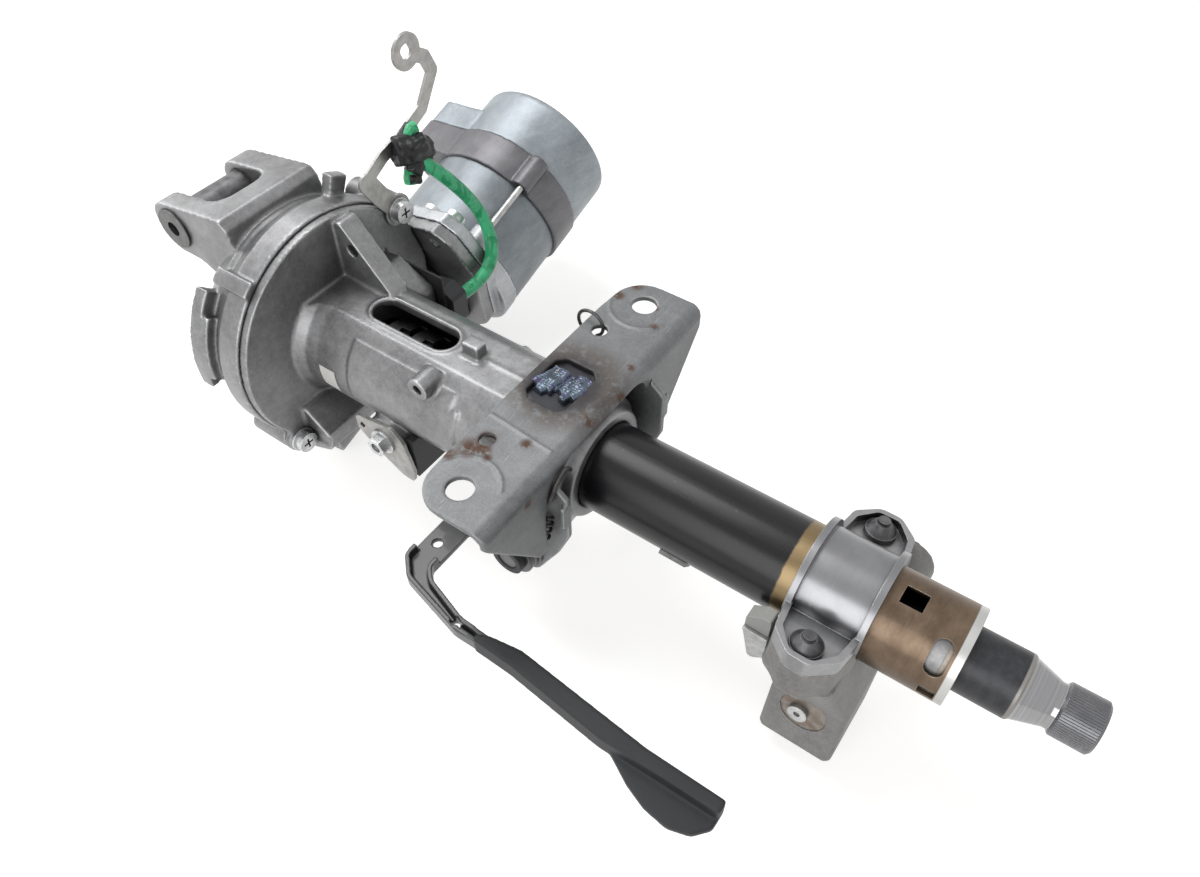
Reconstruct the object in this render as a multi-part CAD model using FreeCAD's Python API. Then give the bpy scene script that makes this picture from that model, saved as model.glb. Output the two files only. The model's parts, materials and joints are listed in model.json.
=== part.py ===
"""Power-assisted steering column: every piece is one named solid or group of like solids.

Frame, in millimetres: +X runs along the steering axis towards the steering wheel, +Z is the
normal of the mounting plate, and +Y points to the motor side.  The origin lies on the steering
axis, in the plane of the lower pivot.
"""
import FreeCAD, Part
import math
import os

Vector = FreeCAD.Vector

# Clearances
RUN = 0.05          # radial clearance of a shaft in its bearing or a tube in its slide
GAP = 0.3           # free space between pieces that move past each other
FREE = 1.0          # free space round parts that turn inside the castings

# Jacket tube and steering shafts
TUBE_R = 22.5
TUBE_WALL = 2.0
TUBE_END = 436.0
TUBE_LENGTH = 262.0
TUBE_TRAVEL = 40.0
UPPER_SHAFT_R = 11.0
UPPER_SHAFT_START = 226.0
NECK_R = 14.8
NECK_LENGTH = 24.0
CONE_LENGTH = 14.0
TIP_R = 11.7
TIP_LENGTH = 16.7
TIP_TEETH = 60
TIP_TOOTH = 0.55
TIP_THREAD_R = 6.0
TIP_THREAD_DEPTH = 22.0
SPLINE_R = 7.0
SPLINE_TOOTH = 1.2
SPLINE_TEETH = 12
SPLINE_START = 172.0
SPLINE_END = 330.0
INPUT_SHAFT_R = 11.0
INPUT_SHAFT_START = 99.0
TORSION_R = 3.2
TORSION_START = 46.0
TORSION_END = 152.0
OUTPUT_R = 12.5
OUTPUT_START = -13.0
OUTPUT_END = 96.0
SERRATION_R = 8.5
SERRATION_LENGTH = 26.0
SERRATION_TEETH = 36
SERRATION_TOOTH = 0.5
GROOVE_SHARE = 0.22

# Worm drive
WORM_X = 68.0
CENTRE_DISTANCE = 58.5
MOTOR_TILT = 18.3
WHEEL_TEETH = 41
WORM_STARTS = 2
WORM_PITCH_R = 9.0
WORM_ADDENDUM = 2.0
WORM_CLEARANCE = 0.6
TOOTH_THICKNESS = 2.4
WHEEL_WIDTH = 14.0
HUB_R = 33.0
WORM_SHAFT_R = 5.0
WORM_START = -36.0
WORM_THREAD_LENGTH = 46.0
WORM_BEARING_R = 13.0
WORM_BEARING_WIDTH = 9.0

# Gear housing and its cover
RIM_R = 70.6
CUP_R = 68.5
CUP_WALL = 7.0
CUP_VALLEY_R = 63.0
CUP_BACK = 50.0
COVER_SEAT = 76.0
COVER_FACE = 81.0
COVER_R = 67.0
TUNNEL_R = 18.0
TUNNEL_START = -50.0
MOTOR_SEAT = 74.0
BOSS_R = 27.0
BOSS_START = 24.0
BEARING_WALL = 8.0
BEARING_WIDTH = 12.0
SCREW_R = 3.0
SCREW_HEAD_R = 6.6
SCREW_HEAD = 4.5
SCREW_ANGLES = (42.0, 226.0, 300.0)
SCREW_REACH = (69.5, 69.5, 79.5)
SCREW_LENGTH = 22.0

# Lower pivot
PIVOT_Z = 49.0
EAR_OUTER = 30.0
EAR_FAR = 33.0
EAR_THICK = 13.0
EAR_R = 15.5
BUSH_R = 10.0
BUSH_FLANGE_R = 11.2
PIVOT_HOLE_R = 4.2
COLLAR_R = 9.6
RIDGE_X = 41.0
RIDGE_Z = 70.0
NOTCH_END = 26.0

# Cast column tube
CAST_R = 33.2
CAST_TOP = 30.0
CAST_BACK = 5.5
CAST_NOSE = 6.0
CAST_NOSE_R = 28.0
SENSOR_X = 141.0
SENSOR_Z = -22.0
SENSOR_BORE_R = 26.5
SENSOR_BORE_END = 170.0
SLOT_START = 112.0
SLOT_END = 165.0
SLOT_HALF = 8.0

# Mounting bracket
PLATE_TOP = 37.5
PLATE_THICK = 3.2
PLATE_FOLD = 255.5
PLATE_LENGTH = 43.5
PLATE_HALF = 87.0
BOLT_BACK = 25.5
BOLT_EDGE = 15.5
BOLT_HOLE_R = 6.4
SMALL_HOLE_BACK = 33.5
SMALL_HOLE_Y = 43.3
SMALL_HOLE_R = 4.0
WINDOW_BACK = 15.5
WINDOW_LENGTH = 23.0
WINDOW_HALF = 15.5
WINDOW_Y = 2.5
WIRE_RING_R = 7.4
WIRE_R = 0.9
FLANGE_LOW = -17.0
ARCH_HALF = 46.5

# Tilt clamp
TILT_BACK = 21.5
TILT_Z = -36.0
TILT_RANGE = 2.5
TILT_BOLT_R = 5.0
LEG_INNER = 38.0
LEG_THICK = 3.0
CAM_R = 13.0
CAM_THICK = 2.4
HUB_CAP_R = 8.8
HUB_CAP_LENGTH = 4.0
LEVER_THICK = 3.0
LEVER_WIDTH = 16.0
LEVER_REACH = 36.0
LEVER_WRIST_Z = -40.0
HANDLE_OFFSET = 15.0
HANDLE_LENGTH = 133.0
HANDLE_TOP = -31.0
HANDLE_DEEP = 11.5

# Motor, stations along its own axis from the foot of the steering axis
MOTOR_R = 45.0
MOTOR_FACE = 82.0
BODY_START = 92.0
BODY_END = 134.0
MID_END = 156.5
CAP_END = 194.0
MID_R = 47.0
CAP_R = 45.5
MOTOR_WALL = 3.0
ROD_CIRCLE_R = 49.5
ROTOR_R = 22.0
STATOR_BORE_R = 23.0

# Steering lock, in its own frame turned about the steering axis
LOCK_TILT = -8.3
LOCK_BACK = 72.0
LOCK_WIDTH = 35.0
BAND_THICK = 2.5
BAND_RIM = 5.5
RIM_WIDTH = 3.0
EAR_BOLT_Y = 40.0
EAR_EDGE_R = 10.5
LOCK_LOW = -80.0
LOCK_SHOULDER = -46.0
LOCK_BOX_OFFSET = 6.0
LOCK_BOX_LENGTH = 37.0
LOCK_BOX_FRONT = -27.0
LOCK_BOX_REAR = 21.0
LOCK_WALL = 3.0
LOCK_BOLT_OFFSET = 17.0
LOCK_BOLT_HALF = 4.0
COLLAR_LOCK_R = 17.5
COLLAR_SLOTS = 8
UPPER_BEARING_BACK = 19.0
UPPER_BEARING_WIDTH = 12.0

# Harness parts
STRIP_THICK = 1.6
STRIP_WIDTH = 7.5
CABLE_R = 3.4

# Values worked out from the driving dimensions
TUBE_START = TUBE_END - TUBE_LENGTH
TUBE_BORE = TUBE_R - TUBE_WALL
NECK_END = TUBE_END + NECK_LENGTH
CONE_END = NECK_END + CONE_LENGTH
TIP_END = CONE_END + TIP_LENGTH
EAR_INNER = EAR_OUTER - EAR_THICK
CAST_END = PLATE_FOLD - CAST_BACK
PLATE_REAR = PLATE_FOLD - PLATE_LENGTH
BOLT_X = PLATE_FOLD - BOLT_BACK
BOLT_Y = PLATE_HALF - BOLT_EDGE
SMALL_HOLE_X = PLATE_FOLD - SMALL_HOLE_BACK
WINDOW_END = PLATE_FOLD - WINDOW_BACK
WINDOW_START = WINDOW_END - WINDOW_LENGTH
TILT_X = PLATE_FOLD - TILT_BACK
LEVER_BACK = TILT_X - LEVER_REACH
HANDLE_START = TILT_X + HANDLE_OFFSET
HANDLE_END = HANDLE_START + HANDLE_LENGTH
LOCK_START = TUBE_END - LOCK_BACK
LOCK_END = LOCK_START + LOCK_WIDTH
LOCK_BOX_START = LOCK_START + LOCK_BOX_OFFSET
LOCK_BOX_END = LOCK_BOX_START + LOCK_BOX_LENGTH
LOCK_BOLT_X = LOCK_START + LOCK_BOLT_OFFSET
UPPER_BEARING_X = TUBE_END - UPPER_BEARING_BACK
LEG_OUTER = LEG_INNER + LEG_THICK
LEVER_FACE = -LEG_OUTER - 2 * GAP - 2 * CAM_THICK
WHEEL_PITCH_R = CENTRE_DISTANCE - WORM_PITCH_R
TOOTH_PITCH = 2 * math.pi * WHEEL_PITCH_R / WHEEL_TEETH
LEAD = WORM_STARTS * TOOTH_PITCH
WHEEL_TIP_R = WHEEL_PITCH_R + WORM_ADDENDUM
WHEEL_ROOT_R = WHEEL_PITCH_R - WORM_ADDENDUM - WORM_CLEARANCE
WORM_TIP_R = WORM_PITCH_R + WORM_ADDENDUM
WORM_CORE_R = WORM_PITCH_R - WORM_ADDENDUM - WORM_CLEARANCE
PLATE_LOW = PLATE_TOP - PLATE_THICK
SLOPE = math.tan(math.radians(20))


def along_x(start, end, radius, y=0.0, z=0.0):
    """A round bar parallel to the steering axis."""
    return Part.makeCylinder(radius, end - start, Vector(start, y, z), Vector(1, 0, 0))


def along_y(start, end, radius, x=0.0, z=0.0):
    """A round bar across the column."""
    return Part.makeCylinder(radius, end - start, Vector(x, start, z), Vector(0, 1, 0))


def along_z(start, end, radius, x=0.0, y=0.0):
    """An upright round bar."""
    return Part.makeCylinder(radius, end - start, Vector(x, y, start), Vector(0, 0, 1))


def block(x, y, z):
    """A box between the pairs of limits x, y and z."""
    size = (x[1] - x[0], y[1] - y[0], z[1] - z[0])
    return Part.makeBox(size[0], size[1], size[2], Vector(x[0], y[0], z[0]))


def polar(angle, radius):
    """The y and z of a point round the steering axis, from +Y towards +Z in degrees."""
    turn = math.radians(angle)
    return radius * math.cos(turn), radius * math.sin(turn)


def join(shapes):
    """One solid from touching or overlapping shapes."""
    whole = shapes[0]
    for piece in shapes[1:]:
        whole = whole.fuse(piece)
    return whole.removeSplitter()


def cut(shape, tools):
    """The shape with every tool taken out of it."""
    for tool in tools:
        shape = shape.cut(tool)
    return shape


def group(shapes):
    """Separate like solids that share one node."""
    return Part.makeCompound(shapes)


def on_xy(height):
    """Places plan points at a height."""
    return lambda a, b: Vector(a, b, height)


def on_xz(side):
    """Places side-view points at a y."""
    return lambda a, b: Vector(a, side, b)


def on_yz(station):
    """Places end-view points at an x."""
    return lambda a, b: Vector(station, a, b)


def outline(points, radius, place):
    """A closed wire through the points with rounded corners."""
    radii = radius if isinstance(radius, (list, tuple)) else [radius] * len(points)
    flat = [Vector(a, b, 0) for a, b in points]
    corners = []
    for index, corner in enumerate(flat):
        before = (flat[index - 1] - corner).normalize()
        after = (flat[(index + 1) % len(flat)] - corner).normalize()
        half = before.getAngle(after) / 2
        if radii[index] == 0 or abs(half - math.pi / 2) < 0.01:
            corners.append((corner, None, corner))
            continue
        reach = radii[index] / math.tan(half)
        middle = (before + after).normalize() * (radii[index] / math.sin(half) - radii[index])
        corners.append((corner + before * reach, corner + middle, corner + after * reach))
    edges = []
    for index, (start, middle, end) in enumerate(corners):
        last = corners[index - 1][2]
        if (start - last).Length > 1e-4:
            edges.append(Part.LineSegment(place(last.x, last.y), place(start.x, start.y)))
        if middle is not None:
            spots = [place(p.x, p.y) for p in (start, middle, end)]
            edges.append(Part.Arc(*spots))
    return Part.Wire([edge.toShape() for edge in edges])


def slab(points, radius, place, depth):
    """A plate of the outline, as deep as the vector."""
    return Part.Face(outline(points, radius, place)).extrude(depth)


def turned(points):
    """A solid of revolution about the steering axis from (x, radius) points."""
    wire = Part.makePolygon([Vector(x, 0, r) for x, r in points + points[:1]])
    return Part.Face(wire).revolve(Vector(0, 0, 0), Vector(1, 0, 0), 360)


def ring(start, end, outer, inner):
    """A plain ring round the steering axis."""
    return along_x(start, end, outer).cut(along_x(start, end, inner))


def sector(start, end, outer, inner, first, last):
    """Part of a ring between two angles, as a lug or window."""
    angles = [first + (last - first) * step / 6 for step in range(7)]
    reach = outer * 1.5
    points = [(0.0, 0.0)] + [polar(angle, reach) for angle in angles]
    wedge = slab(points, 0, on_yz(start), Vector(end - start, 0, 0))
    return ring(start, end, outer, inner).common(wedge)


def gear_blank(start, end, root, tooth, count, thick=0.5):
    """A serrated bar: root radius, tooth height, number of teeth and their share of the pitch."""
    points = []
    for index in range(count):
        for share, radius in ((-0.5, root), (-thick / 2, root), (0.0, root + tooth), (thick / 2, root)):
            points.append(polar((index + share) * 360.0 / count, radius))
    unique = [p for i, p in enumerate(points) if math.dist(p, points[i - 1]) > 1e-6]
    return slab(unique, 0, on_yz(start), Vector(end - start, 0, 0))


def v_grooves(start, end, radius, depth, count, share):
    """Narrow grooves along a bar, each taking the given share of its pitch at the surface."""
    tools = []
    half = share * 180.0 / count
    for index in range(count):
        middle = index * 360.0 / count
        points = [polar(middle, radius - depth), polar(middle - 2 * half, radius + depth),
                  polar(middle + 2 * half, radius + depth)]
        tools.append(slab(points, 0, on_yz(start), Vector(end - start, 0, 0)))
    return group(tools)


def at_motor(shape):
    """Turns a piece drawn along Y to the motor's slope."""
    shape.rotate(Vector(0, 0, 0), Vector(1, 0, 0), MOTOR_TILT)
    return shape


def at_lock(shape):
    """Turns a piece drawn upright to the steering lock's slope."""
    shape.rotate(Vector(0, 0, 0), Vector(1, 0, 0), LOCK_TILT)
    return shape


def motor_bar(start, end, radius, x=0.0, z=0.0):
    """A round bar along the motor axis, before it is turned to its slope."""
    return along_y(start, end, radius, WORM_X + x, z - CENTRE_DISTANCE)


def bearing(start, width, outer, inner, balls=9):
    """Outer race, inner race and balls of a ball bearing round the steering axis."""
    wall = (outer - inner) * 0.3
    middle = (outer + inner) / 2
    ball_r = (outer - inner) / 2 - wall - RUN / 2 + 0.6
    groove = Part.makeTorus(middle, ball_r + RUN, Vector(start + width / 2, 0, 0), Vector(1, 0, 0))
    outer_race = ring(start, start + width, outer, outer - wall).cut(groove)
    inner_race = ring(start, start + width, inner + wall, inner).cut(groove)
    spheres = []
    for index in range(balls):
        y, z = polar(360.0 * index / balls, middle)
        spheres.append(Part.makeSphere(ball_r, Vector(start + width / 2, y, z)))
    return [outer_race, inner_race] + spheres


def hex_bar(place, centre, flats, depth):
    """A hexagonal prism of the given width across flats."""
    reach = flats / math.sqrt(3)
    points = []
    for index in range(6):
        turn = math.radians(60 * index)
        points.append((centre[0] + reach * math.cos(turn), centre[1] + reach * math.sin(turn)))
    return slab(points, 0, place, depth)


def screw_spots():
    """The y and z of the screws that hold the cover on the gear housing."""
    return [polar(angle, reach) for angle, reach in zip(SCREW_ANGLES, SCREW_REACH)]


def gear_housing():
    """Cast cup round the worm wheel, with the worm tunnel, motor seat and pivot ears."""
    cup = turned([
        (BOSS_START, 0), (BOSS_START, BOSS_R), (BOSS_START + 8, BOSS_R + 6), (CUP_BACK - 18, 50.0),
        (CUP_BACK - 8, 58.0), (CUP_BACK, CUP_VALLEY_R), (CUP_BACK + 4, CUP_VALLEY_R),
        (CUP_BACK + 13, CUP_R), (COVER_SEAT, CUP_R), (COVER_SEAT, 0)])
    lugs = [along_x(CUP_BACK, COVER_SEAT, SCREW_HEAD_R + 1.5, y, z) for y, z in screw_spots()]
    lugs.append(sector(CUP_BACK + 2, COVER_SEAT, CUP_R + 2.5, CUP_R - 5, 127.5, 134.5))
    lugs.append(sector(CUP_BACK - 7, CUP_BACK + 1, RIM_R, 56.0, 139.0, 187.0))
    lugs.append(sector(CUP_BACK, CUP_BACK + 5, RIM_R - 0.6, CUP_VALLEY_R - 3, 150.0, 181.0))
    lugs.append(sector(CUP_BACK + 9, CUP_BACK + 16, CUP_R + 11, CUP_R - 4, 62.5, 71.0))
    arms = slab([(-EAR_R, PIVOT_Z - EAR_R), (-EAR_R, PIVOT_Z + 11), (RIDGE_X, RIDGE_Z),
                 (RIDGE_X + 5, RIDGE_Z - 4), (CUP_BACK + 2, 40.0), (CUP_BACK - 6, 20.0),
                 (14.0, PIVOT_Z - EAR_R)],
                [EAR_R, 10, 2, 2, 0, 0, 12], on_xz(-EAR_OUTER), Vector(0, EAR_OUTER + EAR_FAR, 0))
    notch = slab([(-EAR_R - 20, -EAR_INNER), (NOTCH_END, -EAR_INNER), (NOTCH_END, EAR_INNER),
                  (-EAR_R - 20, EAR_INNER)], [0, 10, 10, 0], on_xy(0), Vector(0, 0, 100))
    under = slab([(NOTCH_END - 4, 26.0), (RIDGE_X - 2, 26.0), (RIDGE_X - 2, RIDGE_Z - 12),
                  (NOTCH_END - 4, RIDGE_Z - 17)], 3, on_xz(-EAR_INNER), Vector(0, 2 * EAR_INNER, 0))
    arms = cut(arms, [notch, under])
    seat = at_motor(motor_seat_plate(MOTOR_SEAT - 8, MOTOR_SEAT))
    tunnel = worm_tunnel().cut(block((COVER_SEAT, COVER_SEAT + 60), (-99, 99), (-120, 20)))
    body = join([cup, arms, tunnel, seat] + lugs)
    seat_end = BOSS_START + BEARING_WALL + BEARING_WIDTH
    inside = turned([
        (BOSS_START - 1, 0), (BOSS_START - 1, OUTPUT_R + FREE), (BOSS_START + BEARING_WALL, OUTPUT_R + FREE),
        (BOSS_START + BEARING_WALL, OUTPUT_R * 1.9), (seat_end, OUTPUT_R * 1.9), (seat_end, 52.0),
        (CUP_BACK + 4, CUP_VALLEY_R - CUP_WALL), (CUP_BACK + 13, CUP_R - CUP_WALL),
        (COVER_SEAT + 1, CUP_R - CUP_WALL), (COVER_SEAT + 1, 0)])
    pins = along_y(-EAR_OUTER - 1, EAR_FAR + 1, BUSH_R, 0, PIVOT_Z)
    holes = [along_x(COVER_SEAT - SCREW_LENGTH, COVER_SEAT + 1, SCREW_R, y, z) for y, z in screw_spots()]
    taps = [at_motor(motor_bar(MOTOR_SEAT - 9, MOTOR_SEAT + 1, SCREW_R, x, z)) for x, z in motor_ears()]
    return cut(body, [inside, pins] + worm_bore() + holes + taps + [column_housing()])


def worm_tunnel():
    """The casting's wall round the worm, wider next to the motor."""
    tunnel = motor_bar(TUNNEL_START, MOTOR_SEAT - 8, TUNNEL_R)
    neck = motor_bar(MOTOR_SEAT - 26, MOTOR_SEAT, TUNNEL_R + 10)
    return at_motor(tunnel.fuse(neck))


def worm_bore():
    """The bore for the worm's bearings and the wider one for the end plug."""
    bore = motor_bar(WORM_START, MOTOR_SEAT + 1, WORM_BEARING_R)
    plug = motor_bar(TUNNEL_START - 1, WORM_START, WORM_BEARING_R + 1.0)
    return [at_motor(bore), at_motor(plug)]


def motor_ears():
    """Offsets of the motor screws from the motor axis."""
    return [(28.0, 61.0), (9.0, 56.0), (-22.0, -36.0)]


def motor_seat_plate(start, end):
    """A plate round the motor axis that reaches up to two screws and down to a third."""
    points = [(-14.0, 50.0), (2.0, 64.0), (30.0, 72.0), (40.0, 66.0), (50.0, 40.0), (44.0, 14.0),
              (38.0, -16.0), (18.0, -34.0), (-14.0, -46.0), (-30.0, -44.0), (-36.0, -20.0),
              (-34.0, 16.0)]
    moved = [(WORM_X + a, b - CENTRE_DISTANCE) for a, b in points]
    return slab(moved, [8, 6, 6, 5, 6, 8, 10, 8, 8, 8, 10, 10], on_xz(start), Vector(0, end - start, 0))


def column_housing():
    """Cover of the gear housing in one casting with the tube that carries the jacket."""
    cover = along_x(COVER_SEAT, COVER_FACE, COVER_R)
    lugs = [along_x(COVER_SEAT, COVER_FACE, SCREW_HEAD_R + 1.5, y, z) for y, z in screw_spots()]
    webs = []
    for angle, reach in zip(SCREW_ANGLES, SCREW_REACH):
        far = polar(angle, reach)
        near = [polar(angle + side, 0.8 * COVER_R) for side in (-24, 24)]
        edge = [(far[0] + polar(angle + side, 8.0)[0], far[1] + polar(angle + side, 8.0)[1])
                for side in (-90, 90)]
        webs.append(slab([near[0], edge[0], edge[1], near[1]], 0, on_yz(COVER_SEAT),
                         Vector(COVER_FACE - COVER_SEAT, 0, 0)))
    foot = turned([(COVER_FACE - 1, 0), (COVER_FACE - 1, CAST_R + 5), (COVER_FACE + 6, CAST_R + 1),
                   (COVER_FACE + 14, CAST_R), (COVER_FACE + 14, 0)])
    barrel = along_x(COVER_FACE - 1, CAST_END, CAST_R)
    nose = turned([(CAST_END - 2, 0), (CAST_END - 2, CAST_NOSE_R + 3), (CAST_END, CAST_NOSE_R + 3),
                   (CAST_END + CAST_NOSE, CAST_NOSE_R), (CAST_END + CAST_NOSE, 0)])
    flat = block((COVER_FACE, CAST_END + 20), (-60, 60), (CAST_TOP, 60))
    tube = join([foot, barrel, nose]).cut(flat)
    lug = slab([(TILT_X - 14, -6.0), (TILT_X - 14, TILT_Z - 6), (TILT_X - 8, TILT_Z - 10.5),
                (TILT_X + 8, TILT_Z - 10.5), (CAST_END - 1, TILT_Z + 10), (CAST_END - 1, -6.0)],
               [0, 3, 6, 6, 3, 0], on_xz(-LEG_INNER + GAP), Vector(0, 2 * (LEG_INNER - GAP), 0))
    fin = slab([(COVER_FACE - 1, CAST_TOP - 2), (COVER_FACE - 1, 63.0), (COVER_FACE + 5, 65.0),
                (COVER_FACE + 34, CAST_TOP + 2), (COVER_FACE + 34, CAST_TOP - 2)],
               [0, 2, 3, 2, 0], on_xz(8.0), Vector(0, 12.0, 0))
    socket = slab([(COVER_FACE - 1, -16.0), (COVER_FACE - 1, 27.0), (COVER_FACE + 12, 29.0),
                   (COVER_FACE + 35, 18.0), (COVER_FACE + 35, -16.0)],
                  [0, 2, 4, 4, 2], on_xz(8.0), Vector(0, 30.0, 0))
    tab = block((172.0, 182.5), (-3.0, 4.5), (CAST_TOP - 1, CAST_TOP + 8))
    boss = along_y(-CAST_R + 1.5, -18.0, 6.2, 167.0, 25.5)
    hood = slab([(COVER_FACE - 1, -30.0), (COVER_FACE + 3, -32.0), (COVER_FACE + 17, -44.0),
                 (COVER_FACE + 15, -57.0), (COVER_FACE - 1, -64.0)], [0, 3, 3, 4, 0],
                on_xz(-42.0), Vector(0, 46.0, 0))
    rib = ring(186.0, 188.5, CAST_R + 1.2, CAST_R - 2).cut(block((180, 190), (-60, 60), (20, 60)))
    dome = along_y(-36.0, -8.0, 13.0, SENSOR_X, SENSOR_Z)
    bulge = worm_tunnel().common(block((COVER_SEAT, COVER_FACE + 30), (-99, 99), (-120, 20)))
    body = join([cover, tube, lug, fin, socket, tab, boss, hood, rib, dome, bulge] + lugs + webs)
    room = along_x(COVER_SEAT - 1, SENSOR_BORE_END, SENSOR_BORE_R)
    slide = along_x(SENSOR_BORE_END - 1, CAST_END + CAST_NOSE + 1, TUBE_R + RUN)
    slot_points = [(SLOT_START, -SLOT_HALF), (SLOT_END, -SLOT_HALF), (SLOT_END, SLOT_HALF),
                   (SLOT_START, SLOT_HALF)]
    slot = slab(slot_points, SLOT_HALF - 0.1, on_xy(15.0), Vector(0, 0, 30))
    tilt_hole = along_y(-60, 60, TILT_BOLT_R, TILT_X, TILT_Z)
    fin_hole = along_y(0, 24, 3.4, COVER_FACE + 11, 50.0)
    boss_hole = along_y(-CAST_R - 10, -CAST_R + 10, 2.6, 167.0, 25.5)
    wire_way = slab([(COVER_FACE + 8, -6.0), (COVER_FACE + 26, -6.0), (COVER_FACE + 26, 10.0),
                     (COVER_FACE + 8, 10.0)], 3, on_xz(22.0), Vector(0, 18.0, 0))
    holes = [along_x(COVER_SEAT - 1, COVER_FACE + 1, SCREW_R, y, z) for y, z in screw_spots()]
    sensor_tap = along_y(-38.0, -24.0, SCREW_R, SENSOR_X, SENSOR_Z)
    sinks = [along_x(COVER_FACE, COVER_FACE + 40, SCREW_HEAD_R + 1.5, y, z) for y, z in screw_spots()]
    seat = at_motor(motor_seat_plate(MOTOR_SEAT - 8, MOTOR_SEAT + 12))
    openings = [room, slide, slot, tilt_hole, fin_hole, boss_hole, wire_way, sensor_tap, seat]
    return cut(body, openings + worm_bore() + holes + sinks)


def housing_screws():
    """Pan-head screws that hold the cover on the gear housing."""
    screws = []
    for y, z in screw_spots():
        face = COVER_FACE + (STRIP_THICK if y > 0 and z > 0 else 0.0)
        shank = along_x(COVER_SEAT - SCREW_LENGTH + 2, face, SCREW_R, y, z)
        washer = along_x(face, face + 1.2, SCREW_HEAD_R + 0.7, y, z)
        head = along_x(face + 1.2, face + 1.2 + SCREW_HEAD, SCREW_HEAD_R - 0.6, y, z)
        cross = [block((face + 3.2, face + 7), (y - 3.2, y + 3.2), (z - 0.6, z + 0.6)),
                 block((face + 3.2, face + 7), (y - 0.6, y + 0.6), (z - 3.2, z + 3.2))]
        screws.append(cut(join([shank, washer, head]), cross))
    return group(screws)


def pivot_collar():
    """Steel distance tube between the pivot ears."""
    tube = along_y(-EAR_INNER, EAR_INNER, COLLAR_R, 0, PIVOT_Z)
    return tube.cut(along_y(-EAR_OUTER, EAR_OUTER, PIVOT_HOLE_R, 0, PIVOT_Z))


def pivot_bushes():
    """Flanged bushes pressed into the pivot ears."""
    bushes = []
    for side, face in ((-1, EAR_OUTER), (1, EAR_FAR)):
        inner, outer = sorted((side * EAR_INNER, side * face))
        body = along_y(inner, outer, BUSH_R, 0, PIVOT_Z)
        low, high = sorted((side * face, side * (face + 1.4)))
        flange = along_y(low, high, BUSH_FLANGE_R, 0, PIVOT_Z)
        hole = along_y(-EAR_OUTER - 5, EAR_FAR + 5, PIVOT_HOLE_R, 0, PIVOT_Z)
        bushes.append(join([body, flange]).cut(hole))
    return group(bushes)


def output_bearing():
    """Ball bearing of the output shaft in the gear housing."""
    start = BOSS_START + BEARING_WALL
    return group(bearing(start, BEARING_WIDTH, OUTPUT_R * 1.9, OUTPUT_R + RUN))


def cover_bearing():
    """Ball bearing of the output shaft behind the cover."""
    start = COVER_SEAT + 2
    return group(bearing(start, BEARING_WIDTH, SENSOR_BORE_R, OUTPUT_R + RUN))


def output_shaft():
    """Lower shaft with the serrated end that takes the intermediate shaft's yoke."""
    bar = turned([(OUTPUT_START, 0), (OUTPUT_START, SERRATION_R - 1),
                  (OUTPUT_START + 1, SERRATION_R), (OUTPUT_START + SERRATION_LENGTH, SERRATION_R),
                  (OUTPUT_START + SERRATION_LENGTH + 3, OUTPUT_R - 1.5),
                  (BOSS_START + BEARING_WALL, OUTPUT_R - 1.5), (BOSS_START + BEARING_WALL, OUTPUT_R),
                  (OUTPUT_END, OUTPUT_R), (OUTPUT_END, 0)])
    spaces = v_grooves(OUTPUT_START - 1, OUTPUT_START + SERRATION_LENGTH, SERRATION_R, SERRATION_TOOTH,
                       SERRATION_TEETH, GROOVE_SHARE)
    groove = ring(-2.5, 2.5, SERRATION_R + 2, SERRATION_R - 1.4)
    bore = along_x(TORSION_START, OUTPUT_END + 1, TORSION_R)
    return cut(bar, [spaces, groove, bore])


def worm_wheel_hub():
    """Steel hub of the worm wheel, pressed on the output shaft."""
    start = WORM_X - WHEEL_WIDTH / 2
    hub = ring(start, start + WHEEL_WIDTH, HUB_R, OUTPUT_R)
    dish = ring(start, start + 3, HUB_R - 5, OUTPUT_R + 6)
    far = ring(start + WHEEL_WIDTH - 3, start + WHEEL_WIDTH, HUB_R - 5, OUTPUT_R + 6)
    return cut(hub, [dish, far])


def wheel_section(station):
    """Wire of the toothed rim at a station, turned with the teeth's slant."""
    turn = math.degrees(LEAD / (2 * math.pi * WORM_PITCH_R) * (station - WORM_X) / WHEEL_PITCH_R)
    half = TOOTH_THICKNESS / 2
    steps = []
    for radius in (WHEEL_ROOT_R, WHEEL_TIP_R):
        width = half + (WHEEL_PITCH_R - radius) * SLOPE
        steps.append((radius, math.degrees(width / radius)))
    (root, root_half), (tip, tip_half) = steps
    points = []
    for index in range(WHEEL_TEETH):
        middle = -90.0 + turn + index * 360.0 / WHEEL_TEETH
        for angle, radius in ((-root_half, root), (-tip_half, tip), (tip_half, tip), (root_half, root)):
            y, z = polar(middle + angle, radius)
            points.append(Vector(station, y, z))
    return Part.makePolygon(points + points[:1])


def worm_wheel_rim():
    """Plastic toothed rim moulded on the hub, with slanted teeth."""
    start = WORM_X - WHEEL_WIDTH / 2
    wires = [wheel_section(start), wheel_section(start + WHEEL_WIDTH)]
    blank = Part.makeLoft(wires, True, True)
    rim = blank.cut(along_x(start - 1, start + WHEEL_WIDTH + 1, HUB_R))
    return at_motor(rim)


def torsion_bar():
    """Thin bar that joins the input and output shafts."""
    return along_x(TORSION_START, TORSION_END, TORSION_R)


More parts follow.
